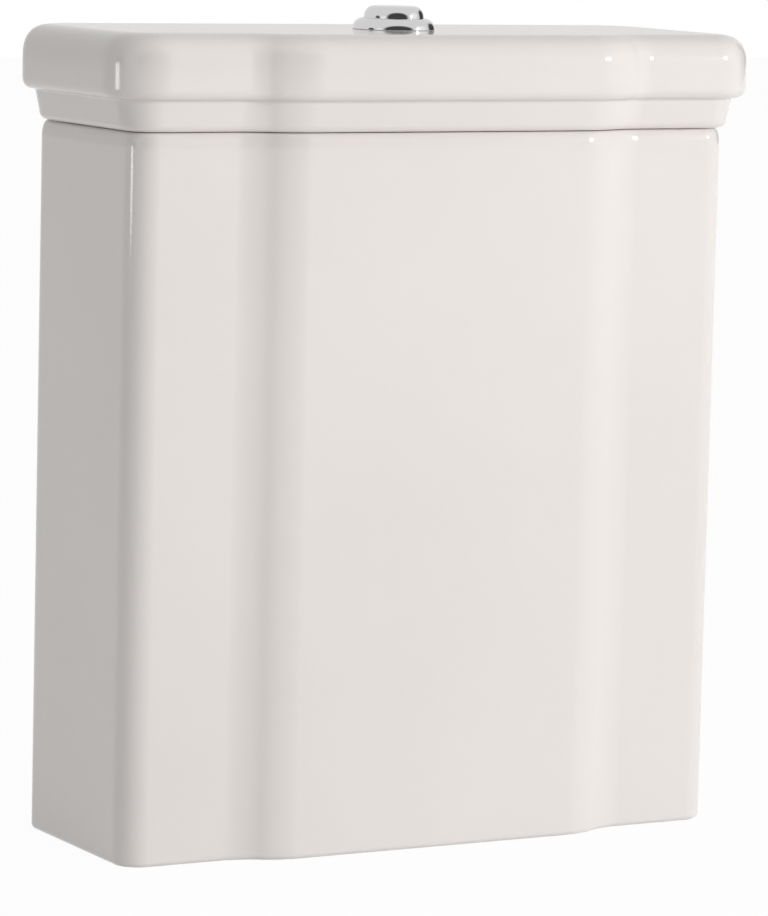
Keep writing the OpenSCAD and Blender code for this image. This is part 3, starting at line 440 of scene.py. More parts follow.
def turned(bm, outline, x, y, steps=96):
    """Turns a closed outline of [radius, height, rounding] round an upright axis."""
    before = set(bm.verts)
    verts = [bm.verts.new((r, 0.0, z)) for r, z, _ in outline]
    bm.faces.new(verts)
    for vert, (_, _, rounding) in zip(verts, outline):
        if rounding:
            bmesh.ops.bevel(
                bm, geom=[vert], offset=rounding, offset_type="OFFSET",
                segments=max(3, min(12, round(3 * rounding))),
                profile=0.5, affect="VERTICES", clamp_overlap=False, material=-1,
            )
    new = [v for v in bm.verts if v not in before]
    bmesh.ops.delete(bm, geom=list({f for v in new for f in v.link_faces}), context="FACES_ONLY")
    edges = list({e for v in new for e in v.link_edges})
    on_axis = [e for e in edges if all(v.co.x < 1e-6 for v in e.verts)]
    bmesh.ops.delete(bm, geom=on_axis, context="EDGES")
    edges = [e for e in edges if e.is_valid]
    bmesh.ops.spin(
        bm, geom=edges + list({v for e in edges for v in e.verts}), cent=(0.0, 0.0, 0.0),
        axis=(0.0, 0.0, 1.0), dvec=(0.0, 0.0, 0.0), angle=2.0 * math.pi, steps=steps, use_merge=True,
    )
    new = [v for v in bm.verts if v not in before]
    bmesh.ops.translate(bm, vec=(x, y, 0.0), verts=new)


def thread(bm, x, y, low, high, core, crest, pitch, steps=32):
    """Winds a blunt ridge round an upright core and closes both of its ends."""
    before = set(bm.verts)
    ridge = [
        bm.verts.new((r, 0.0, low + share * pitch))
        for r, share in ((core - 0.3, 0.0), (crest, 0.28), (crest, 0.5), (core - 0.3, 0.78))
    ]
    edges = [bm.edges.new((ridge[i - 1], ridge[i])) for i in range(len(ridge))]
    count = int((high - low - 0.8 * pitch) / pitch * steps)
    bmesh.ops.spin(
        bm, geom=ridge + edges, cent=(0.0, 0.0, 0.0), axis=(0.0, 0.0, 1.0), dvec=(0.0, 0.0, pitch / steps),
        angle=2.0 * math.pi * count / steps, steps=count, use_merge=False,
    )
    new = [v for v in bm.verts if v not in before]
    ends = list({e for v in new for e in v.link_edges if e.is_boundary})
    bmesh.ops.holes_fill(bm, edges=ends, sides=len(ridge))
    bmesh.ops.translate(bm, vec=(x, y, 0.0), verts=new)


def moulded(name, dark, pale, cloud_scale, rough, grain_scale, relief, metallic=0.0):
    """A finish with slow changes of tone, uneven gloss and a fine grain."""
    stuff = bpy.data.materials.new(name)
    stuff.use_nodes = True
    nodes, links = stuff.node_tree.nodes, stuff.node_tree.links
    skin = nodes["Principled BSDF"]
    skin.inputs["Metallic"].default_value = metallic
    spot = nodes.new("ShaderNodeTexCoord")
    cloud = nodes.new("ShaderNodeTexNoise")
    cloud.inputs["Scale"].default_value = cloud_scale
    grain = nodes.new("ShaderNodeTexNoise")
    grain.inputs["Scale"].default_value = grain_scale
    tone = nodes.new("ShaderNodeValToRGB")
    for stop, place, colour in zip(tone.color_ramp.elements, (0.3, 0.7), (dark, pale)):
        stop.position = place
        stop.color = (*colour, 1.0)
    gloss = nodes.new("ShaderNodeMapRange")
    gloss.inputs["To Min"].default_value, gloss.inputs["To Max"].default_value = rough
    bump = nodes.new("ShaderNodeBump")
    bump.inputs["Strength"].default_value = 0.4
    bump.inputs["Distance"].default_value = relief
    for noise in (cloud, grain):
        links.new(spot.outputs["Object"], noise.inputs["Vector"])
    links.new(cloud.outputs["Fac"], tone.inputs["Fac"])
    links.new(tone.outputs["Color"], skin.inputs["Base Color"])
    links.new(cloud.outputs["Fac"], gloss.inputs["Value"])
    links.new(gloss.outputs["Result"], skin.inputs["Roughness"])
    links.new(grain.outputs["Fac"], bump.inputs["Height"])
    links.new(bump.outputs["Normal"], skin.inputs["Normal"])
    return stuff


white_plastic = moulded(
    "white_plastic", (0.78, 0.785, 0.775), (0.85, 0.855, 0.845), 26.0, (0.26, 0.40), 900.0, 0.00003,
)
bm = bmesh.new()
turned(bm, (
    (24.0, 5.0, 0.5), (28.5, 5.0, 0.8), (28.5, 58.0, 0.0), (29.8, 58.6, 0.0), (29.8, 61.0, 0.0),
    (42.0, 61.0, 0.8),
    (42.0, 65.0, 1.0), (31.2, 65.0, 1.0), (30.0, 72.0, 0.7), (27.0, 72.0, 0.5), (24.0, 66.0, 0.8),
), 0.0, AXIS_Y)
thread(bm, 0.0, AXIS_Y, 6.5, 57.5, 28.5, 29.8, 3.2, steps=48)
dress(to_object("valve_base_moulding", bm), white_plastic, "tank", "white_plastic", "valve_base")

# Rubber washers
# Flat black rubber rings seal the flush valve's flange and the fill valve's flange
# against the tank's floor. They are cut from sheet and clamped by the nuts below.
black_rubber = moulded(
    "black_rubber", (0.016, 0.016, 0.016), (0.034, 0.034, 0.033), 55.0, (0.5, 0.72), 600.0, 0.00008,
)
for name, x, y, bore, rim in (
    ("base_washer", 0.0, AXIS_Y, 30.1, 42.0),
    ("inlet_washer", FILL_X, FILL_Y, 10.78, 17.0),
):
    bm = bmesh.new()
    turned(bm, ((bore, 58.0, 0.3), (rim, 58.0, 0.8), (rim, 61.0, 0.8), (bore, 61.0, 0.3)), x, y, steps=72)
    dress(to_object("sealing_" + name, bm), black_rubber, "tank", "black_rubber", name)

# Base nut
# A big white plastic nut with eight lugs for the fingers or a spanner is screwed up
# the tail from below and clamps the flush valve to the floor.


def plate(bm, outline, axis, low, high, edge=0.5):
    """Draws an outline of [u, v, rounding] across an axis, draws it out along it and eases its rims."""
    before = set(bm.verts)
    order = {"X": (2, 0, 1), "Y": (0, 2, 1), "Z": (0, 1, 2)}[axis]
    verts = []
    for u, v, _ in outline:
        here = (u, v, low)
        verts.append(bm.verts.new([here[i] for i in order]))
    bm.faces.new(verts)
    for vert, (_, _, rounding) in zip(verts, outline):
        if rounding:
            bmesh.ops.bevel(
                bm, geom=[vert], offset=rounding, offset_type="OFFSET",
                segments=max(2, min(10, round(2 * rounding))),
                profile=0.5, affect="VERTICES", clamp_overlap=False, material=-1,
            )
    flat = [f for f in bm.faces if all(v not in before for v in f.verts)]
    grown = bmesh.ops.extrude_face_region(bm, geom=flat)["geom"]
    along = "XYZ".index(axis)
    reach = Vector()
    reach[along] = high - low
    bmesh.ops.translate(bm, vec=reach, verts=verts_of(grown))
    edges = [e for e in bm.edges if all(v not in before for v in e.verts)]
    bmesh.ops.holes_fill(bm, edges=edges, sides=0)
    rims = [e for e in edges if abs(e.verts[0].co[along] - e.verts[1].co[along]) < 1e-6]
    if edge:
        bmesh.ops.bevel(
            bm, geom=rims, offset=edge, offset_type="OFFSET", segments=2,
            profile=0.5, affect="EDGES", clamp_overlap=True, material=-1,
        )
    return [v for v in bm.verts if v not in before]


def oblong(left, low, right, high, rounding=0.0):
    """Corners [u, v, rounding] of an upright rectangle."""
    return [(left, low, rounding), (right, low, rounding), (right, high, rounding), (left, high, rounding)]


def swing(bm, verts, degrees):
    """Turns part of a shape about the upright axis through the origin."""
    turn = Matrix.Rotation(math.radians(degrees), 3, "Z")
    bmesh.ops.rotate(bm, cent=(0.0, 0.0, 0.0), matrix=turn, verts=verts)


bm = bmesh.new()
turned(bm, ((30.1, 34.0, 0.4), (40.0, 34.0, 1.0), (40.0, 46.0, 0.6), (30.1, 46.0, 0.4)), 0.0, AXIS_Y)
base_nut = to_object("lugged_base_nut", bm)
bm = bmesh.new()
for i in range(8):
    lug = plate(
        bm, ((37.0, -4.0, 0.0), (44.0, -4.0, 1.0), (44.0, 4.0, 1.0), (37.0, 4.0, 0.0)), "Z", 34.6, 45.4,
        0.6,
    )
    swing(bm, lug, 22.5 + 45.0 * i)
bmesh.ops.translate(bm, vec=(0.0, AXIS_Y, 0.0), verts=bm.verts)
carve(base_nut, to_object("lugs", bm), "UNION")
dress(base_nut, white_plastic, "tank", "white_plastic", "base_nut")

# Coupling gasket
# A thick ring of soft closed-cell foam rubber is pushed over the tail and seals the
# cistern to the pan. Its corners are slack and its skin is finely pitted.
foam_rubber = moulded(
    "foam_rubber", (0.02, 0.02, 0.022), (0.055, 0.055, 0.056), 420.0, (0.78, 0.95), 900.0, 0.0004,
)
bm = bmesh.new()
turned(bm, (
    (30.1, 8.0, 1.0), (44.6, 8.0, 2.4), (47.0, 13.0, 3.0), (47.0, 29.0, 3.0), (44.6, 34.0, 2.4),
    (30.1, 34.0, 1.0),
), 0.0, AXIS_Y)
dress(to_object("foam_gasket", bm), foam_rubber, "tank", "foam_rubber", "coupling_gasket", crease=50.0)

# Valve cage
# A white plastic cage is locked on the base. Water runs in through its four windows,
# and two notched posts carry the lever's head at an adjustable height.
bm = bmesh.new()
turned(bm, (
    (38.0, 65.0, 0.3), (41.0, 65.0, 0.3), (41.0, 150.0, 1.4), (16.6, 150.0, 0.4), (16.6, 147.0, 0.4),
    (38.0, 147.0, 1.2),
), 0.0, AXIS_Y)
cage = to_object("notched_valve_cage", bm)
for axis, middle in (("Y", 0.0), ("X", AXIS_Y)):
    bm = bmesh.new()
    window = [(middle + u, z, 5.0) for u, z in ((-22.0, 73.0), (22.0, 73.0), (22.0, 127.0), (-22.0, 127.0))]
    plate(bm, window, axis, AXIS_Y - 55.0, AXIS_Y + 55.0, 0.0)
    carve(cage, to_object("window", bm), "DIFFERENCE")
bm = bmesh.new()
for side in (-1.0, 1.0):
    outline = [(27.0, 148.0), (33.0, 148.0)]
    for i in range(10):
        notch = 160.0 + 10.0 * i
        outline += [(33.0, notch), (32.0, notch + 0.4), (32.0, notch + 4.6), (33.0, notch + 5.0)]
    outline += [(33.0, 324.5), (27.0, 324.5)]
    plate(bm, [(AXIS_Y + side * u, z, 0.0) for u, z in outline], "X", -5.0, 5.0, 0.25)
carve(cage, to_object("posts", bm), "UNION")
dress(cage, white_plastic, "tank", "white_plastic", "valve_cage")

# Overflow tube
# The grey tube in the middle of the valve is overflow pipe and valve stem in one: it
# slides in the cage, and the disc near its lower end carries the seal.
grey_plastic = moulded(
    "grey_plastic", (0.46, 0.49, 0.52), (0.53, 0.56, 0.59), 30.0, (0.34, 0.5), 800.0, 0.00004,
)
bm = bmesh.new()
turned(bm, (
    (13.0, 68.0, 0.4), (15.5, 68.0, 0.4), (15.5, 75.0, 0.0), (30.0, 75.0, 0.8), (30.0, 79.0, 0.8),
    (17.5, 79.0, 1.0),
    (16.0, 84.0, 1.0), (16.0, 276.0, 0.0), (15.6, 276.4, 0.0), (15.6, 283.0, 0.0), (16.0, 283.4, 0.0),
    (16.0, 300.0, 0.7), (13.0, 300.0, 0.7),
), 0.0, AXIS_Y)
dress(to_object("overflow_stem", bm), grey_plastic, "flush_tube", "grey_plastic", "overflow_tube")

# Flush seal
# A red silicone ring with a thin outer lip lies below the disc and closes the seat.
# A white snap ring holds it up from below.
red_rubber = moulded(
    "red_silicone", (0.36, 0.050, 0.034), (0.47, 0.075, 0.050), 60.0, (0.42, 0.6), 500.0, 0.00005,
)
bm = bmesh.new()
turned(bm, (
    (15.8, 72.0, 0.3), (26.0, 72.0, 0.0), (27.0, 72.6, 0.0), (31.4, 72.0, 0.4), (33.0, 73.4, 0.4),
    (33.0, 75.0, 0.4),
    (15.8, 75.0, 0.3),
), 0.0, AXIS_Y)
dress(to_object("silicone_seal", bm), red_rubber, "flush_tube", "red_rubber", "valve_seal")
bm = bmesh.new()
turned(
    bm, ((15.8, 69.0, 0.3), (19.6, 69.0, 0.9), (20.8, 72.0, 0.4), (15.8, 72.0, 0.3)), 0.0, AXIS_Y, steps=64,
)
dress(to_object("snap_ring", bm), white_plastic, "flush_tube", "white_plastic", "seal_clip")

# Flush float
# A hollow white plastic ring clamped on the tube keeps the valve up until the tank
# has emptied. A groove round its middle takes the clamp.
bm = bmesh.new()
turned(bm, (
    (16.3, 96.0, 0.5), (33.0, 96.0, 3.0), (33.0, 107.0, 0.8), (31.2, 108.5, 0.6), (31.2, 111.5, 0.6),
    (33.0, 113.0, 0.8),
    (33.0, 124.0, 3.0), (16.3, 124.0, 0.5),
), 0.0, AXIS_Y)
dress(to_object("float_ring", bm), white_plastic, "flush_tube", "white_plastic", "valve_float")

# Lift yoke
# A blue plastic collar is clipped round the top of the tube. Its arm reaches out and
# up beside the tower, and its hook hangs over the lever's far end.
blue_plastic = moulded(
    "blue_plastic", (0.045, 0.15, 0.40), (0.07, 0.20, 0.48), 40.0, (0.32, 0.48), 800.0, 0.00004,
)
bm = bmesh.new()
turned(
    bm, ((16.3, 284.0, 0.4), (20.3, 284.0, 0.8), (20.3, 294.0, 0.8), (16.3, 294.0, 0.4)), 0.0, AXIS_Y,
    steps=72,
)
yoke = to_object("hooked_yoke", bm)
bm = bmesh.new()
plate(bm, (
    (18.0, 284.6, 0.0), (72.5, 284.6, 3.0), (72.5, 353.3, 2.0), (58.0, 353.3, 1.0), (58.0, 349.3, 1.0),
    (68.5, 349.3, 1.5), (68.5, 293.4, 3.0), (18.0, 293.4, 0.0),
), "Y", AXIS_Y - 5.0, AXIS_Y + 5.0, 0.7)
carve(yoke, to_object("arm", bm), "UNION")
bm = bmesh.new()
for side in (-1.0, 1.0):
    y = AXIS_Y + side * 5.0
    plate(bm, oblong(26.0, 286.6, 64.0, 291.4, 1.2), "Y", y - 1.2, y + 1.2, 0.0)
carve(yoke, to_object("arm_recess", bm), "DIFFERENCE")
dress(yoke, blue_plastic, "flush_tube", "blue_plastic", "lift_yoke")

# Tower head
# The white plastic head slips over both posts with two collars and stands up in two
# ears that hold the flush lever's pin.
bm = bmesh.new()
plate(bm, [(x, y, 3.0) for x, y in (
    (-8.3, AXIS_Y - 36.3), (8.3, AXIS_Y - 36.3), (26.0, AXIS_Y - 14.0), (26.0, AXIS_Y + 14.0),
    (8.3, AXIS_Y + 36.3),
    (-8.3, AXIS_Y + 36.3),
)], "Z", 324.5, 330.5, 0.8)
head = to_object("tower_head_moulding", bm)
bm = bmesh.new()
for side in (-1.0, 1.0):
    y = AXIS_Y + side * 30.0
    plate(bm, oblong(-8.3, y - 6.3, 8.3, y + 6.3, 1.0), "Z", 310.5, 326.0, 0.5)
    y = AXIS_Y + side * 6.8
    plate(
        bm, ((14.0, 329.0, 0.0), (26.0, 329.0, 0.0), (26.0, 352.0, 5.99), (14.0, 352.0, 5.99)), "Y",
        y - 1.5, y + 1.5, 0.4,
    )
carve(head, to_object("collars_and_ears", bm), "UNION")
bm = bmesh.new()
for side in (-1.0, 1.0):
    y = AXIS_Y + side * 30.0
    plate(bm, oblong(-5.3, y - 3.3, 5.3, y + 3.3), "Z", 308.0, 324.5, 0.0)
post(bm, 20.0, 346.0, AXIS_Y - 12.0, AXIS_Y + 12.0, 2.05, axis="Y", steps=24)
carve(head, to_object("post_slots_and_pin_hole", bm), "DIFFERENCE")
dress(head, white_plastic, "tank", "white_plastic", "tower_head")

# Flush lever
# A blue plastic rocker turns on a pin in the tower head: the push rod presses its
# near nose down, and its far nose lifts the yoke.


def laid(bm, outline, x, y, z, steps=40):
    """Turns an outline of [radius, place, rounding] round an axis that runs from front to back."""
    before = set(bm.verts)
    turned(bm, outline, 0.0, 0.0, steps)
    new = [v for v in bm.verts if v not in before]
    bmesh.ops.rotate(bm, cent=(0.0, 0.0, 0.0), matrix=Matrix.Rotation(math.radians(-90.0), 3, "X"), verts=new)
    bmesh.ops.translate(bm, vec=(x, y, z), verts=new)


def barrel(bm, x, y, z, r, wide=10.0):
    """A round boss across a lever, with eased rims."""
    half = wide / 2.0
    laid(bm, ((0.0, -half, 0.0), (r, -half, 0.5), (r, half, 0.5), (0.0, half, 0.0)), x, y, z)


bm = bmesh.new()
plate(bm, [(x, z, 0.0) for x, z in (
    (0.0, 343.9), (20.0, 343.2), (64.0, 344.4), (64.0, 347.6), (20.0, 348.8), (0.0, 348.1),
)], "Y", AXIS_Y - 4.6, AXIS_Y + 4.6, 0.6)
rocker = to_object("flush_rocker", bm)
for x, r in ((0.0, 4.0), (20.0, 6.0), (64.0, 3.0)):
    bm = bmesh.new()
    barrel(bm, x, AXIS_Y, 346.0, r)
    carve(rocker, to_object("boss", bm), "UNION")
bm = bmesh.new()
post(bm, 20.0, 346.0, AXIS_Y - 12.0, AXIS_Y + 12.0, 2.05, axis="Y", steps=24)
carve(rocker, to_object("pin_hole", bm), "DIFFERENCE")
dress(rocker, blue_plastic, "flush_lever", "blue_plastic", "flush_lever")

# Lever pins
# Two small steel pins with a low domed head carry the flush lever and the float
# lever. Each is pushed through its two ears from the front.
steel = moulded(
    "drawn_steel", (0.44, 0.44, 0.46), (0.56, 0.56, 0.58), 90.0, (0.22, 0.38), 1400.0, 0.00003,
    metallic=1.0,
)
for name, x, y, z in (("lever_pin", 20.0, AXIS_Y, 346.0), ("float_pin", FILL_X + 12.0, FILL_Y, 338.0)):
    bm = bmesh.new()
    laid(bm, (
        (0.0, -9.8, 0.0), (3.2, -9.8, 0.9), (3.2, -8.3, 0.2), (2.0, -8.3, 0.0), (2.0, 8.3, 0.5), (0.0, 8.3, 0.0),
    ), x, y, z)
    dress(to_object("steel_" + name, bm), steel, "tank", "steel", name)

# Fill valve body
# The fill valve's body is a white plastic pipe: a half-inch threaded shank below the
# floor, a flange on its washer, and a riser up to the valve's head.
bm = bmesh.new()
turned(bm, (
    (6.0, 4.0, 0.4), (9.5, 4.0, 0.5), (9.5, 58.0, 0.0), (10.48, 58.4, 0.0), (10.48, 61.0, 0.0),
    (17.0, 61.0, 0.6),
    (17.0, 65.0, 0.9), (10.4, 65.0, 0.6), (9.0, 69.0, 1.0), (9.0, 298.0, 0.5), (6.0, 298.0, 0.4),
), FILL_X, FILL_Y, steps=72)
thread(bm, FILL_X, FILL_Y, 4.8, 30.0, 9.5, 10.48, 1.814)
thread(bm, FILL_X, FILL_Y, 36.0, 57.6, 9.5, 10.48, 1.814)
dress(to_object("threaded_riser", bm), white_plastic, "tank", "white_plastic", "fill_body")

# Inlet nut
# A white plastic six-sided nut clamps the shank below the floor.


def nut(name, places, corner_r, low, high, bore):
    """Six-sided nuts with eased corners and a round bore, at one or more places."""
    bm, holes = bmesh.new(), bmesh.new()
    for x, y in places:
        corners = [math.radians(60.0 * i) for i in range(6)]
        plate(bm, [
            (x + corner_r * math.cos(a), y + corner_r * math.sin(a), 0.06 * corner_r) for a in corners
        ], "Z", low, high, 0.07 * corner_r)
        post(holes, x, y, low - 1.0, high + 1.0, bore)
    piece = to_object(name, bm)
    carve(piece, to_object("bores", holes), "DIFFERENCE")
    return piece


inlet_nut = nut("six_sided_inlet_nut", ((FILL_X, FILL_Y),), 17.0, 36.0, 46.0, 10.78)
dress(inlet_nut, white_plastic, "tank", "white_plastic", "inlet_nut")

# Inlet strainer
# A small grey plastic thimble with three slots sits in the shank's mouth and keeps
# grit out of the valve.
bm = bmesh.new()
turned(bm, (
    (0.0, 19.0, 0.0), (5.95, 19.0, 1.2), (5.95, 4.0, 0.3), (4.45, 4.0, 0.3), (4.45, 17.5, 0.6),
    (0.0, 17.5, 0.0),
), FILL_X, FILL_Y, steps=48)
strainer = to_object("slotted_strainer", bm)
for i in range(3):
    bm = bmesh.new()
    slot = plate(bm, oblong(0.0, -0.75, 9.0, 0.75), "Z", 7.0, 16.0, 0.0)
    swing(bm, slot, 30.0 + 120.0 * i)
    bmesh.ops.translate(bm, vec=(FILL_X, FILL_Y, 0.0), verts=slot)
    carve(strainer, to_object("slot", bm), "DIFFERENCE")
dress(strainer, grey_plastic, "tank", "grey_plastic", "inlet_strainer")

# Fill valve head
# The white plastic head is pressed on the riser. A side arm leads the water back to
# an elbow that holds the dip tube.
bm = bmesh.new()
turned(bm, (
    (9.0, 290.0, 0.4), (13.2, 290.0, 1.0), (15.0, 294.0, 1.2), (15.0, 318.0, 0.4), (0.0, 318.0, 0.0),
    (0.0, 298.0, 0.0),
    (9.0, 298.0, 0.0),
), FILL_X, FILL_Y, steps=72)
fill_head = to_object("fill_valve_head", bm)
bm = bmesh.new()
laid(
    bm, ((0.0, 11.0, 0.0), (6.5, 11.0, 0.0), (6.5, 38.0, 0.0), (0.0, 38.0, 0.0)), FILL_X, FILL_Y, 302.0,
    steps=48,
)
carve(fill_head, to_object("side_arm", bm), "UNION")
bm = bmesh.new()
turned(bm, (
    (6.6, 290.0, 0.4), (8.3, 290.0, 0.6), (8.3, 310.3, 3.0), (0.0, 310.3, 0.0), (0.0, 296.5, 0.0),
    (6.6, 296.5, 0.0),
), FILL_X, FILL_Y + 38.5, steps=56)
carve(fill_head, to_object("elbow", bm), "UNION")
dress(fill_head, white_plastic, "tank", "white_plastic", "fill_head")

# Dip tube
# A plain white plastic tube hangs in the elbow and lets the water in near the floor,
# so that the tank fills quietly. Its lower end is cut on the square.
bm = bmesh.new()
turned(
    bm, ((5.0, 80.0, 0.3), (6.5, 80.0, 0.5), (6.5, 296.5, 0.3), (5.0, 296.5, 0.3)), FILL_X, FILL_Y + 38.5,
    steps=56,
)
dress(to_object("quiet_dip_tube", bm), white_plastic, "tank", "white_plastic", "dip_tube")

# Diaphragm
# A round black rubber diaphragm with a beaded rim lies between head and cap and shuts
# off the water.
bm = bmesh.new()
turned(bm, (
    (0.0, 318.0, 0.0), (15.0, 318.0, 0.4), (15.0, 320.0, 0.6), (12.6, 320.0, 0.5), (12.0, 319.3, 0.3),
    (0.0, 319.3, 0.0),
), FILL_X, FILL_Y, steps=64)
dress(to_object("shut_off_diaphragm", bm), black_rubber, "tank", "black_rubber", "diaphragm")

# Fill valve cap
# A grey plastic screw cap with grip ribs closes the head. It carries a bleed nozzle
# and two ears for the float lever's pin.
bm = bmesh.new()
turned(bm, (
    (15.3, 310.0, 0.4), (17.5, 310.0, 0.6), (17.5, 326.0, 1.2), (14.0, 330.0, 1.2), (0.0, 330.0, 0.0),
    (0.0, 320.0, 0.0),
    (15.3, 320.0, 0.3),
), FILL_X, FILL_Y)
cap = to_object("ribbed_fill_cap", bm)
bm = bmesh.new()
for i in range(24):
    rib = plate(
        bm, ((16.6, -1.1, 0.0), (18.6, -0.7, 0.4), (18.6, 0.7, 0.4), (16.6, 1.1, 0.0)), "Z", 312.0, 320.0,
        0.3,
    )
    swing(bm, rib, 15.0 * i)
bmesh.ops.translate(bm, vec=(FILL_X, FILL_Y, 0.0), verts=bm.verts)
for side in (-1.0, 1.0):
    y = FILL_Y + side * 6.8
    plate(bm, [(FILL_X + x, z, r) for x, z, r in (
        (7.5, 327.0, 0.0), (16.5, 327.0, 0.0), (16.5, 342.5, 4.49), (7.5, 342.5, 4.49),
    )], "Y", y - 1.5, y + 1.5, 0.4)
turned(
    bm, ((0.0, 329.0, 0.0), (2.0, 329.0, 0.0), (2.0, 332.5, 0.4), (0.0, 332.5, 0.0)), FILL_X - 2.0, FILL_Y,
    steps=24,
)
carve(cap, to_object("ribs_ears_and_nozzle", bm), "UNION")
bm = bmesh.new()
post(bm, FILL_X + 12.0, 338.0, FILL_Y - 12.0, FILL_Y + 12.0, 2.05, axis="Y", steps=24)
carve(cap, to_object("pin_hole", bm), "DIFFERENCE")
dress(cap, grey_plastic, "tank", "grey_plastic", "fill_cap")

# Float cup
# The float is an upturned grey plastic cup with a guide sleeve that slides on the
# riser. A drilled lug on its right side takes the link rod.
LINK_X = FILL_X + 39.57
bm = bmesh.new()
turned(bm, (
    (9.6, 195.0, 0.3), (11.6, 195.0, 0.3), (11.6, 260.0, 1.2), (28.0, 260.0, 1.5), (28.0, 195.0, 0.4),
    (30.0, 195.0, 0.4),
    (30.0, 255.0, 0.0), (29.4, 256.0, 0.0), (29.4, 262.0, 2.2), (9.6, 262.0, 0.5),
), FILL_X, FILL_Y)
cup = to_object("upturned_float_cup", bm)
bm = bmesh.new()
plate(bm, [(FILL_X + x, FILL_Y + y, r) for x, y, r in (
    (28.6, -6.5, 0.0), (46.07, -6.5, 5.5), (46.07, 6.5, 5.5), (28.6, 6.5, 0.0),
)], "Z", 250.0, 261.8, 0.7)
carve(cup, to_object("lug", bm), "UNION")
bm = bmesh.new()
post(bm, LINK_X, FILL_Y, 248.0, 264.0, 2.3, steps=24)
carve(cup, to_object("link_hole", bm), "DIFFERENCE")
dress(cup, grey_plastic, "float", "grey_plastic", "float_cup")

# Float rod
# A thin threaded brass rod links the cup to the float lever. Plain brass collars
# pinch the lug and the lever's fork, and set the water level.
brass = moulded(
    "plain_brass", (0.50, 0.33, 0.10), (0.62, 0.43, 0.16), 80.0, (0.2, 0.36), 1200.0, 0.00003, metallic=1.0,
)
bm = bmesh.new()
outline = [(0.0, 245.5, 0.0)]
for low, high in ((245.5, 250.0), (262.0, 266.5), (325.0, 329.5), (336.8, 341.27)):
    outline += [(1.75, low, 0.0), (4.5, low, 0.5), (4.5, high, 0.5), (1.75, high, 0.0)]
turned(bm, outline[:1] + outline[2:-1] + [(0.0, 341.27, 0.0)], LINK_X, FILL_Y, steps=32)
for low, high in ((250.0, 262.0), (266.5, 325.0), (329.5, 336.8)):
    thread(bm, LINK_X, FILL_Y, low, high, 1.75, 2.0, 0.9, steps=16)
dress(to_object("threaded_float_rod", bm), brass, "float", "brass", "float_rod")

# Float lever
# A blue plastic lever turns on its pin above the cap. Its short end shuts the bleed
# nozzle, and its fork rides on the link rod.
bm = bmesh.new()
plate(bm, ((-16.0, -2.5, 1.2), (32.5, -2.5, 1.2), (32.5, 2.5, 1.2), (-16.0, 2.5, 1.2)), "Y", -5.0, 5.0, 0.6)
float_lever = to_object("forked_float_lever", bm)
bm = bmesh.new()
barrel(bm, 0.0, 0.0, 0.0, 4.5)
carve(float_lever, to_object("boss", bm), "UNION")
bm = bmesh.new()
plate(bm, oblong(23.5, -2.3, 40.0, 2.3), "Z", -6.0, 6.0, 0.0)
post(bm, 0.0, 0.0, -12.0, 12.0, 2.05, axis="Y", steps=24)
carve(float_lever, to_object("fork_slot_and_pin_hole", bm), "DIFFERENCE")
float_lever.data.transform(
    Matrix.Translation(Vector((FILL_X + 12.0, FILL_Y, 338.0)) * MM)
    @ Matrix.Rotation(math.radians(10.0), 4, "Y")
)
dress(float_lever, blue_plastic, "float_lever", "blue_plastic", "float_lever")

# Pan bolts
# Two brass bolts with slotted heads hang through the tank's floor and down into the
# pan. Each is held by a conical rubber seal, a steel washer and a brass nut.
BOLTS = ((-BOLT_X, AXIS_Y), (BOLT_X, AXIS_Y))
bm, slots = bmesh.new(), bmesh.new()
for x, y in BOLTS:
    turned(bm, (
        (0.0, 3.0, 0.0), (3.45, 3.0, 0.9), (3.45, 36.5, 0.0), (3.6, 37.0, 0.0), (3.6, 63.0, 0.0),
        (8.0, 63.0, 0.5),
        (8.0, 66.6, 1.0), (6.0, 69.0, 1.4), (0.0, 69.0, 0.0),
    ), x, y, steps=48)
    plate(slots, oblong(x - 9.0, y - 1.0, x + 9.0, y + 1.0), "Z", 66.0, 70.0, 0.0)
bolts = to_object("slotted_pan_bolts", bm)
carve(bolts, to_object("screw_slots", slots), "DIFFERENCE")
bm = bmesh.new()
bm.from_mesh(bolts.data)
bmesh.ops.scale(bm, vec=(1.0 / MM, 1.0 / MM, 1.0 / MM), verts=bm.verts)
for x, y in BOLTS:
    thread(bm, x, y, 4.0, 36.6, 3.45, 4.0, 1.25, steps=24)
bpy.data.objects.remove(bolts)
dress(to_object("slotted_pan_bolts", bm), brass, "tank", "brass", "pan_bolts")

bm = bmesh.new()
for x, y in BOLTS:
    turned(bm, ((3.9, 58.0, 0.3), (13.0, 58.0, 0.7), (8.3, 63.0, 0.7), (3.9, 63.0, 0.3)), x, y, steps=56)
dress(to_object("conical_bolt_seals", bm), black_rubber, "tank", "black_rubber", "bolt_seals")

bm = bmesh.new()
for x, y in BOLTS:
    turned(bm, ((4.3, 44.0, 0.2), (12.0, 44.0, 0.4), (12.0, 46.0, 0.3), (4.3, 46.0, 0.2)), x, y, steps=56)
dress(to_object("steel_bolt_washers", bm), steel, "tank", "steel", "bolt_washers")
dress(nut("brass_bolt_nuts", BOLTS, 7.5, 37.5, 44.0, 3.9), brass, "tank", "brass", "bolt_nuts")

# Lid
# The lid is a second hollow casting of the same china: a slightly tapered band with
# a rounded foot, and above it a slab that hangs over on three sides and is flush at
# the back. Four ribs below it drop inside the tank's rim.
LID_Z = 398.0
LID_TOP = 450.0
LID_CEILING = 440.0
LID_BACK_R = 17.0
LID_BACK_EDGE = 2.5
LID_FOOT = LID_Z - 0.6
LID_EDGE = 17.0
RIB_HALF_W = 20.0
RIB_DROP = 9.0


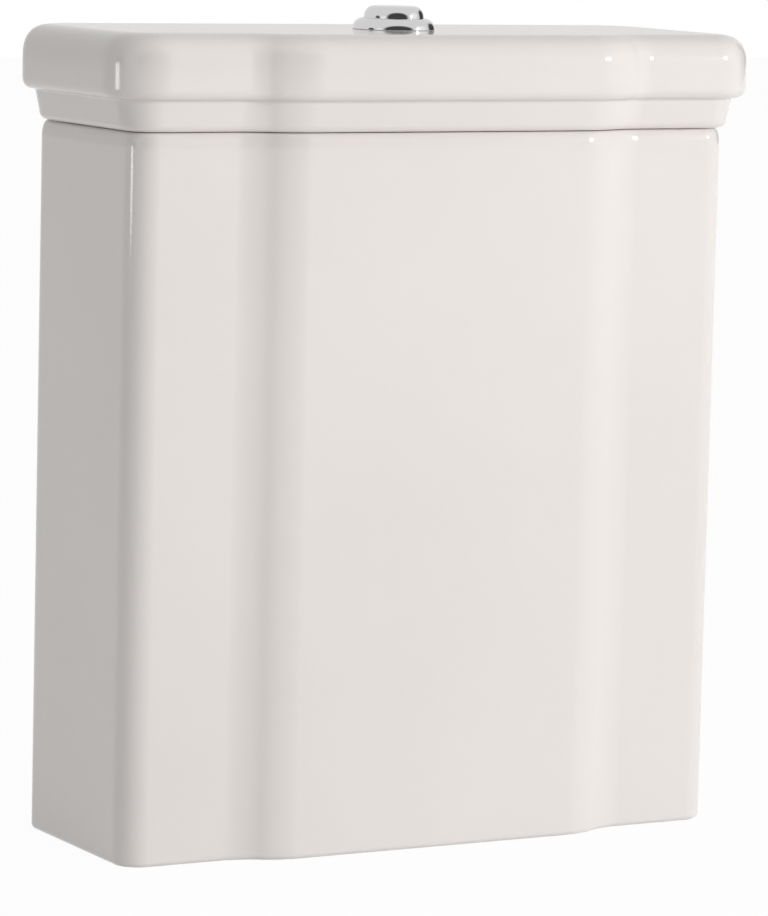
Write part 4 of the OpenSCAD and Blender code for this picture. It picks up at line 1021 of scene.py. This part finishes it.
def lid_back(z):
    """Place of the lid's back at height z: flush with the tank, and rounded at its foot and top."""
    rise = max(LID_FOOT + LID_BACK_EDGE - z, z - LID_TOP + LID_BACK_EDGE, 0.0)
    return BACK_Y - LID_BACK_EDGE + math.sqrt(LID_BACK_EDGE ** 2 - min(rise, LID_BACK_EDGE) ** 2)


bm = bmesh.new()
inner = arc(-15.3, LID_CEILING - 5.0, 5.0, 90.0, 0.0, 5)
inner += arc(-8.8, LID_FOOT + 1.5 + SLOPE, 1.5, 180.0, 270.0, 3)
outer = arc(-1.5, LID_FOOT + 5.0, 5.0, -90.0, 0.0, 6) + arc(7.7, LID_Z + 14.6, 2.0, 180.0, 91.4, 5)
outer += arc(8.0, LID_Z + 22.6, 6.0, -88.6, 0.0, 7)
outer += soft(-3.0, LID_TOP - LID_EDGE, LID_EDGE, LID_EDGE, 2.4, 14)
lines = [china_line(bm, out, BACK_Y + out, 6.7, z) for out, z in inner]
lines += [china_line(bm, out, lid_back(z), LID_BACK_R, z) for out, z in outer]
loft(bm, lines)
lid = to_object("china_lid", bm)

bm = bmesh.new()
post(bm, 0.0, AXIS_Y, LID_CEILING - 6.0, LID_TOP + 6.0, 19.7, steps=64)
carve(lid, to_object("button_hole", bm), "DIFFERENCE")

for rib_x in (-64.0, 64.0):
    for low_y, low_t, root_y in ((PANEL_Y + 11.5, 4.0, PANEL_Y + 8.0), (BACK_Y - 11.5, -4.0, BACK_Y - 8.0)):
        bm = bmesh.new()
        rib = [
            bm.verts.new((rib_x - RIB_HALF_W, y, LID_Z + z))
            for y, z in (
                (low_y, -RIB_DROP), (low_y + low_t, -RIB_DROP), (low_y + low_t, 16.0),
                (root_y, 16.0), (root_y, 1.0), (low_y, 1.0),
            )
        ]
        rib_face = bm.faces.new(rib)
        grown = bmesh.ops.extrude_face_region(bm, geom=[rib_face])["geom"]
        bmesh.ops.translate(bm, vec=(2.0 * RIB_HALF_W, 0.0, 0.0), verts=verts_of(grown))
        bmesh.ops.holes_fill(bm, edges=bm.edges, sides=0)
        bmesh.ops.bevel(
            bm, geom=[e for e in bm.edges if all(v.co.z < LID_Z for v in e.verts)], offset=1.4,
            offset_type="OFFSET", segments=3, profile=0.5, affect="EDGES", clamp_overlap=False, material=-1,
        )
        carve(lid, to_object("lid_rib", bm), "UNION")
dress(lid, china, "lid", "china", "lid")

# Lid buffers
# Four thin grey rubber dots glued under the lid keep the two castings from grinding
# on each other.
grey_rubber = moulded(
    "grey_rubber", (0.17, 0.17, 0.175), (0.24, 0.24, 0.245), 200.0, (0.55, 0.75), 900.0, 0.00005,
)
bm = bmesh.new()
for x in (-145.0, 145.0):
    for y in (WING_Y + 6.5, BACK_Y - 6.5):
        turned(
            bm, ((0.0, 397.0, 0.0), (2.5, 397.0, 0.35), (2.5, 398.0, 0.2), (0.0, 398.0, 0.0)), x, y,
            steps=32,
        )
dress(to_object("lid_buffers", bm), grey_rubber, "lid", "grey_rubber", "lid_pads")

# Button bezel
# A chrome-plated rounded ring stands on the lid round the button. Its sleeve passes
# through the lid, guides the button and has a web across its lower end.
chrome = bpy.data.materials.new("polished_chrome")
chrome.use_nodes = True
nodes, links = chrome.node_tree.nodes, chrome.node_tree.links
plating = nodes["Principled BSDF"]
plating.inputs["Metallic"].default_value = 1.0
plating.inputs["Base Color"].default_value = (0.77, 0.77, 0.775, 1.0)
spot = nodes.new("ShaderNodeTexCoord")
haze = nodes.new("ShaderNodeTexNoise")
haze.inputs["Scale"].default_value = 160.0
haze_span = nodes.new("ShaderNodeMapRange")
haze_span.inputs["To Min"].default_value = 0.05
haze_span.inputs["To Max"].default_value = 0.12
links.new(spot.outputs["Object"], haze.inputs["Vector"])
links.new(haze.outputs["Fac"], haze_span.inputs["Value"])
links.new(haze_span.outputs["Result"], plating.inputs["Roughness"])

bm = bmesh.new()
dome = [(r, z, 0.0) for r, z in soft(17.0, LID_TOP + 0.3, 6.0, 6.0, 2.0, 12)]
turned(bm, dome[::-1] + [
    (22.8, LID_TOP, 0.0), (19.4, LID_TOP, 0.0), (19.4, 440.5, 0.0), (18.8, 440.0, 0.0), (18.8, 416.0, 0.6),
    (5.8, 416.0, 0.3),
    (5.8, 418.4, 0.3), (17.0, 418.4, 0.0),
], 0.0, AXIS_Y)
thread(bm, 0.0, AXIS_Y, 417.0, 440.0, 18.8, 19.4, 2.5, steps=48)
dress(to_object("chrome_bezel", bm), chrome, "lid", "chrome", "button_bezel")

# Bezel nut
# A white plastic ring nut with finger lugs is screwed up the sleeve inside the lid
# and holds the bezel down.
bm = bmesh.new()
turned(bm, ((19.7, 432.0, 0.4), (25.6, 432.0, 0.8), (25.6, 440.0, 0.5), (19.7, 440.0, 0.4)), 0.0, AXIS_Y)
ring_nut = to_object("lugged_ring_nut", bm)
bm = bmesh.new()
for i in range(12):
    lug = plate(
        bm, ((24.0, -2.5, 0.0), (27.6, -1.9, 0.8), (27.6, 1.9, 0.8), (24.0, 2.5, 0.0)), "Z", 432.6, 439.6,
        0.5,
    )
    swing(bm, lug, 30.0 * i)
bmesh.ops.translate(bm, vec=(0.0, AXIS_Y, 0.0), verts=bm.verts)
carve(ring_nut, to_object("lugs", bm), "UNION")
dress(ring_nut, white_plastic, "lid", "white_plastic", "bezel_nut")

# Push button
# The button is a chrome-plated cap with a domed edge, a short skirt that slides in
# the bezel's sleeve, and a stem below it.
BUTTON_TOP = 463.0
bm = bmesh.new()
dome = [(r, z, 0.0) for r, z in soft(10.7, BUTTON_TOP - 7.0, 6.0, 7.0, 2.3, 12)]
turned(bm, [(0.0, BUTTON_TOP, 0.0)] + dome[::-1] + [
    (16.7, 444.0, 0.4), (14.7, 444.0, 0.4), (14.7, 455.5, 0.0), (12.8, 458.8, 0.0), (9.5, 460.8, 0.0),
    (5.5, 460.8, 0.0),
    (5.5, 406.0, 0.4), (4.05, 406.0, 0.3), (4.05, 424.0, 0.0), (0.0, 424.0, 0.0),
], 0.0, AXIS_Y)
dress(to_object("chrome_button", bm), chrome, "button", "chrome", "push_button")

# Button spring
# A coil spring of steel wire stands on the bezel's web round the stem and pushes the
# button up. Its end turns lie close together and flat.
SPRING_FOOT = 418.4
bm = bmesh.new()
wire = bmesh.ops.create_circle(
    bm, cap_ends=False, segments=12, radius=0.7,
    matrix=Matrix.Translation((10.5, 0.0, SPRING_FOOT + 0.95)) @ Matrix.Rotation(math.radians(90.0), 4, "X"),
)["verts"]
coil = wire + list({e for v in wire for e in v.link_edges})
for turns, rise in ((1.0, 1.5), (5.0, 37.7), (1.0, 1.5)):
    steps = round(40 * turns)
    coil = bmesh.ops.spin(
        bm, geom=coil, cent=(0.0, 0.0, 0.0), axis=(0.0, 0.0, 1.0), dvec=(0.0, 0.0, rise / steps),
        angle=2.0 * math.pi * turns, steps=steps, use_merge=False,
    )["geom_last"]
bmesh.ops.holes_fill(bm, edges=[e for e in bm.edges if e.is_boundary], sides=12)
bmesh.ops.translate(bm, vec=(0.0, AXIS_Y, 0.0), verts=bm.verts)
spring = dress(to_object("coil_spring", bm), steel, "lid", "steel", "button_spring", crease=60.0)
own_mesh(spring)

# Button clip
# A flat open ring of spring steel snaps on the stem below the web and stops the
# spring from pushing the button out.
bm = bmesh.new()
turned(
    bm, ((5.55, 413.7, 0.2), (9.05, 413.7, 0.3), (9.05, 415.7, 0.3), (5.55, 415.7, 0.2)), 0.0, AXIS_Y,
    steps=64,
)
clip = to_object("open_snap_clip", bm)
bm = bmesh.new()
plate(
    bm, [(x, AXIS_Y + y, 0.0) for x, y in ((0.0, -2.2), (12.0, -3.4), (12.0, 3.4), (0.0, 2.2))], "Z", 412.0,
    417.0, 0.0,
)
carve(clip, to_object("gap", bm), "DIFFERENCE")
dress(clip, steel, "button", "steel", "button_clip")

# Push rod
# A grey plastic rod screws into the stem and reaches down to the flush lever. A lock
# nut below the stem fixes its length, and its foot is rounded.
bm = bmesh.new()
turned(bm, (
    (0.0, 350.3, 0.0), (4.0, 350.3, 2.2), (4.0, 388.0, 0.0), (3.5, 389.0, 0.0), (3.5, 424.0, 0.5),
    (0.0, 424.0, 0.0),
), 0.0, AXIS_Y, steps=48)
thread(bm, 0.0, AXIS_Y, 389.5, 423.0, 3.5, 4.0, 1.5, steps=24)
dress(to_object("screwed_push_rod", bm), grey_plastic, "button", "grey_plastic", "push_rod")
rod_nut = nut("rod_lock_nut", ((0.0, AXIS_Y),), 7.5, 401.0, 406.0, 4.05)
dress(rod_nut, grey_plastic, "button", "grey_plastic", "rod_nut")

size = {"cad": [list(corner) for corner in cad_box], "visual": [list(corner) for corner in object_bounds()]}
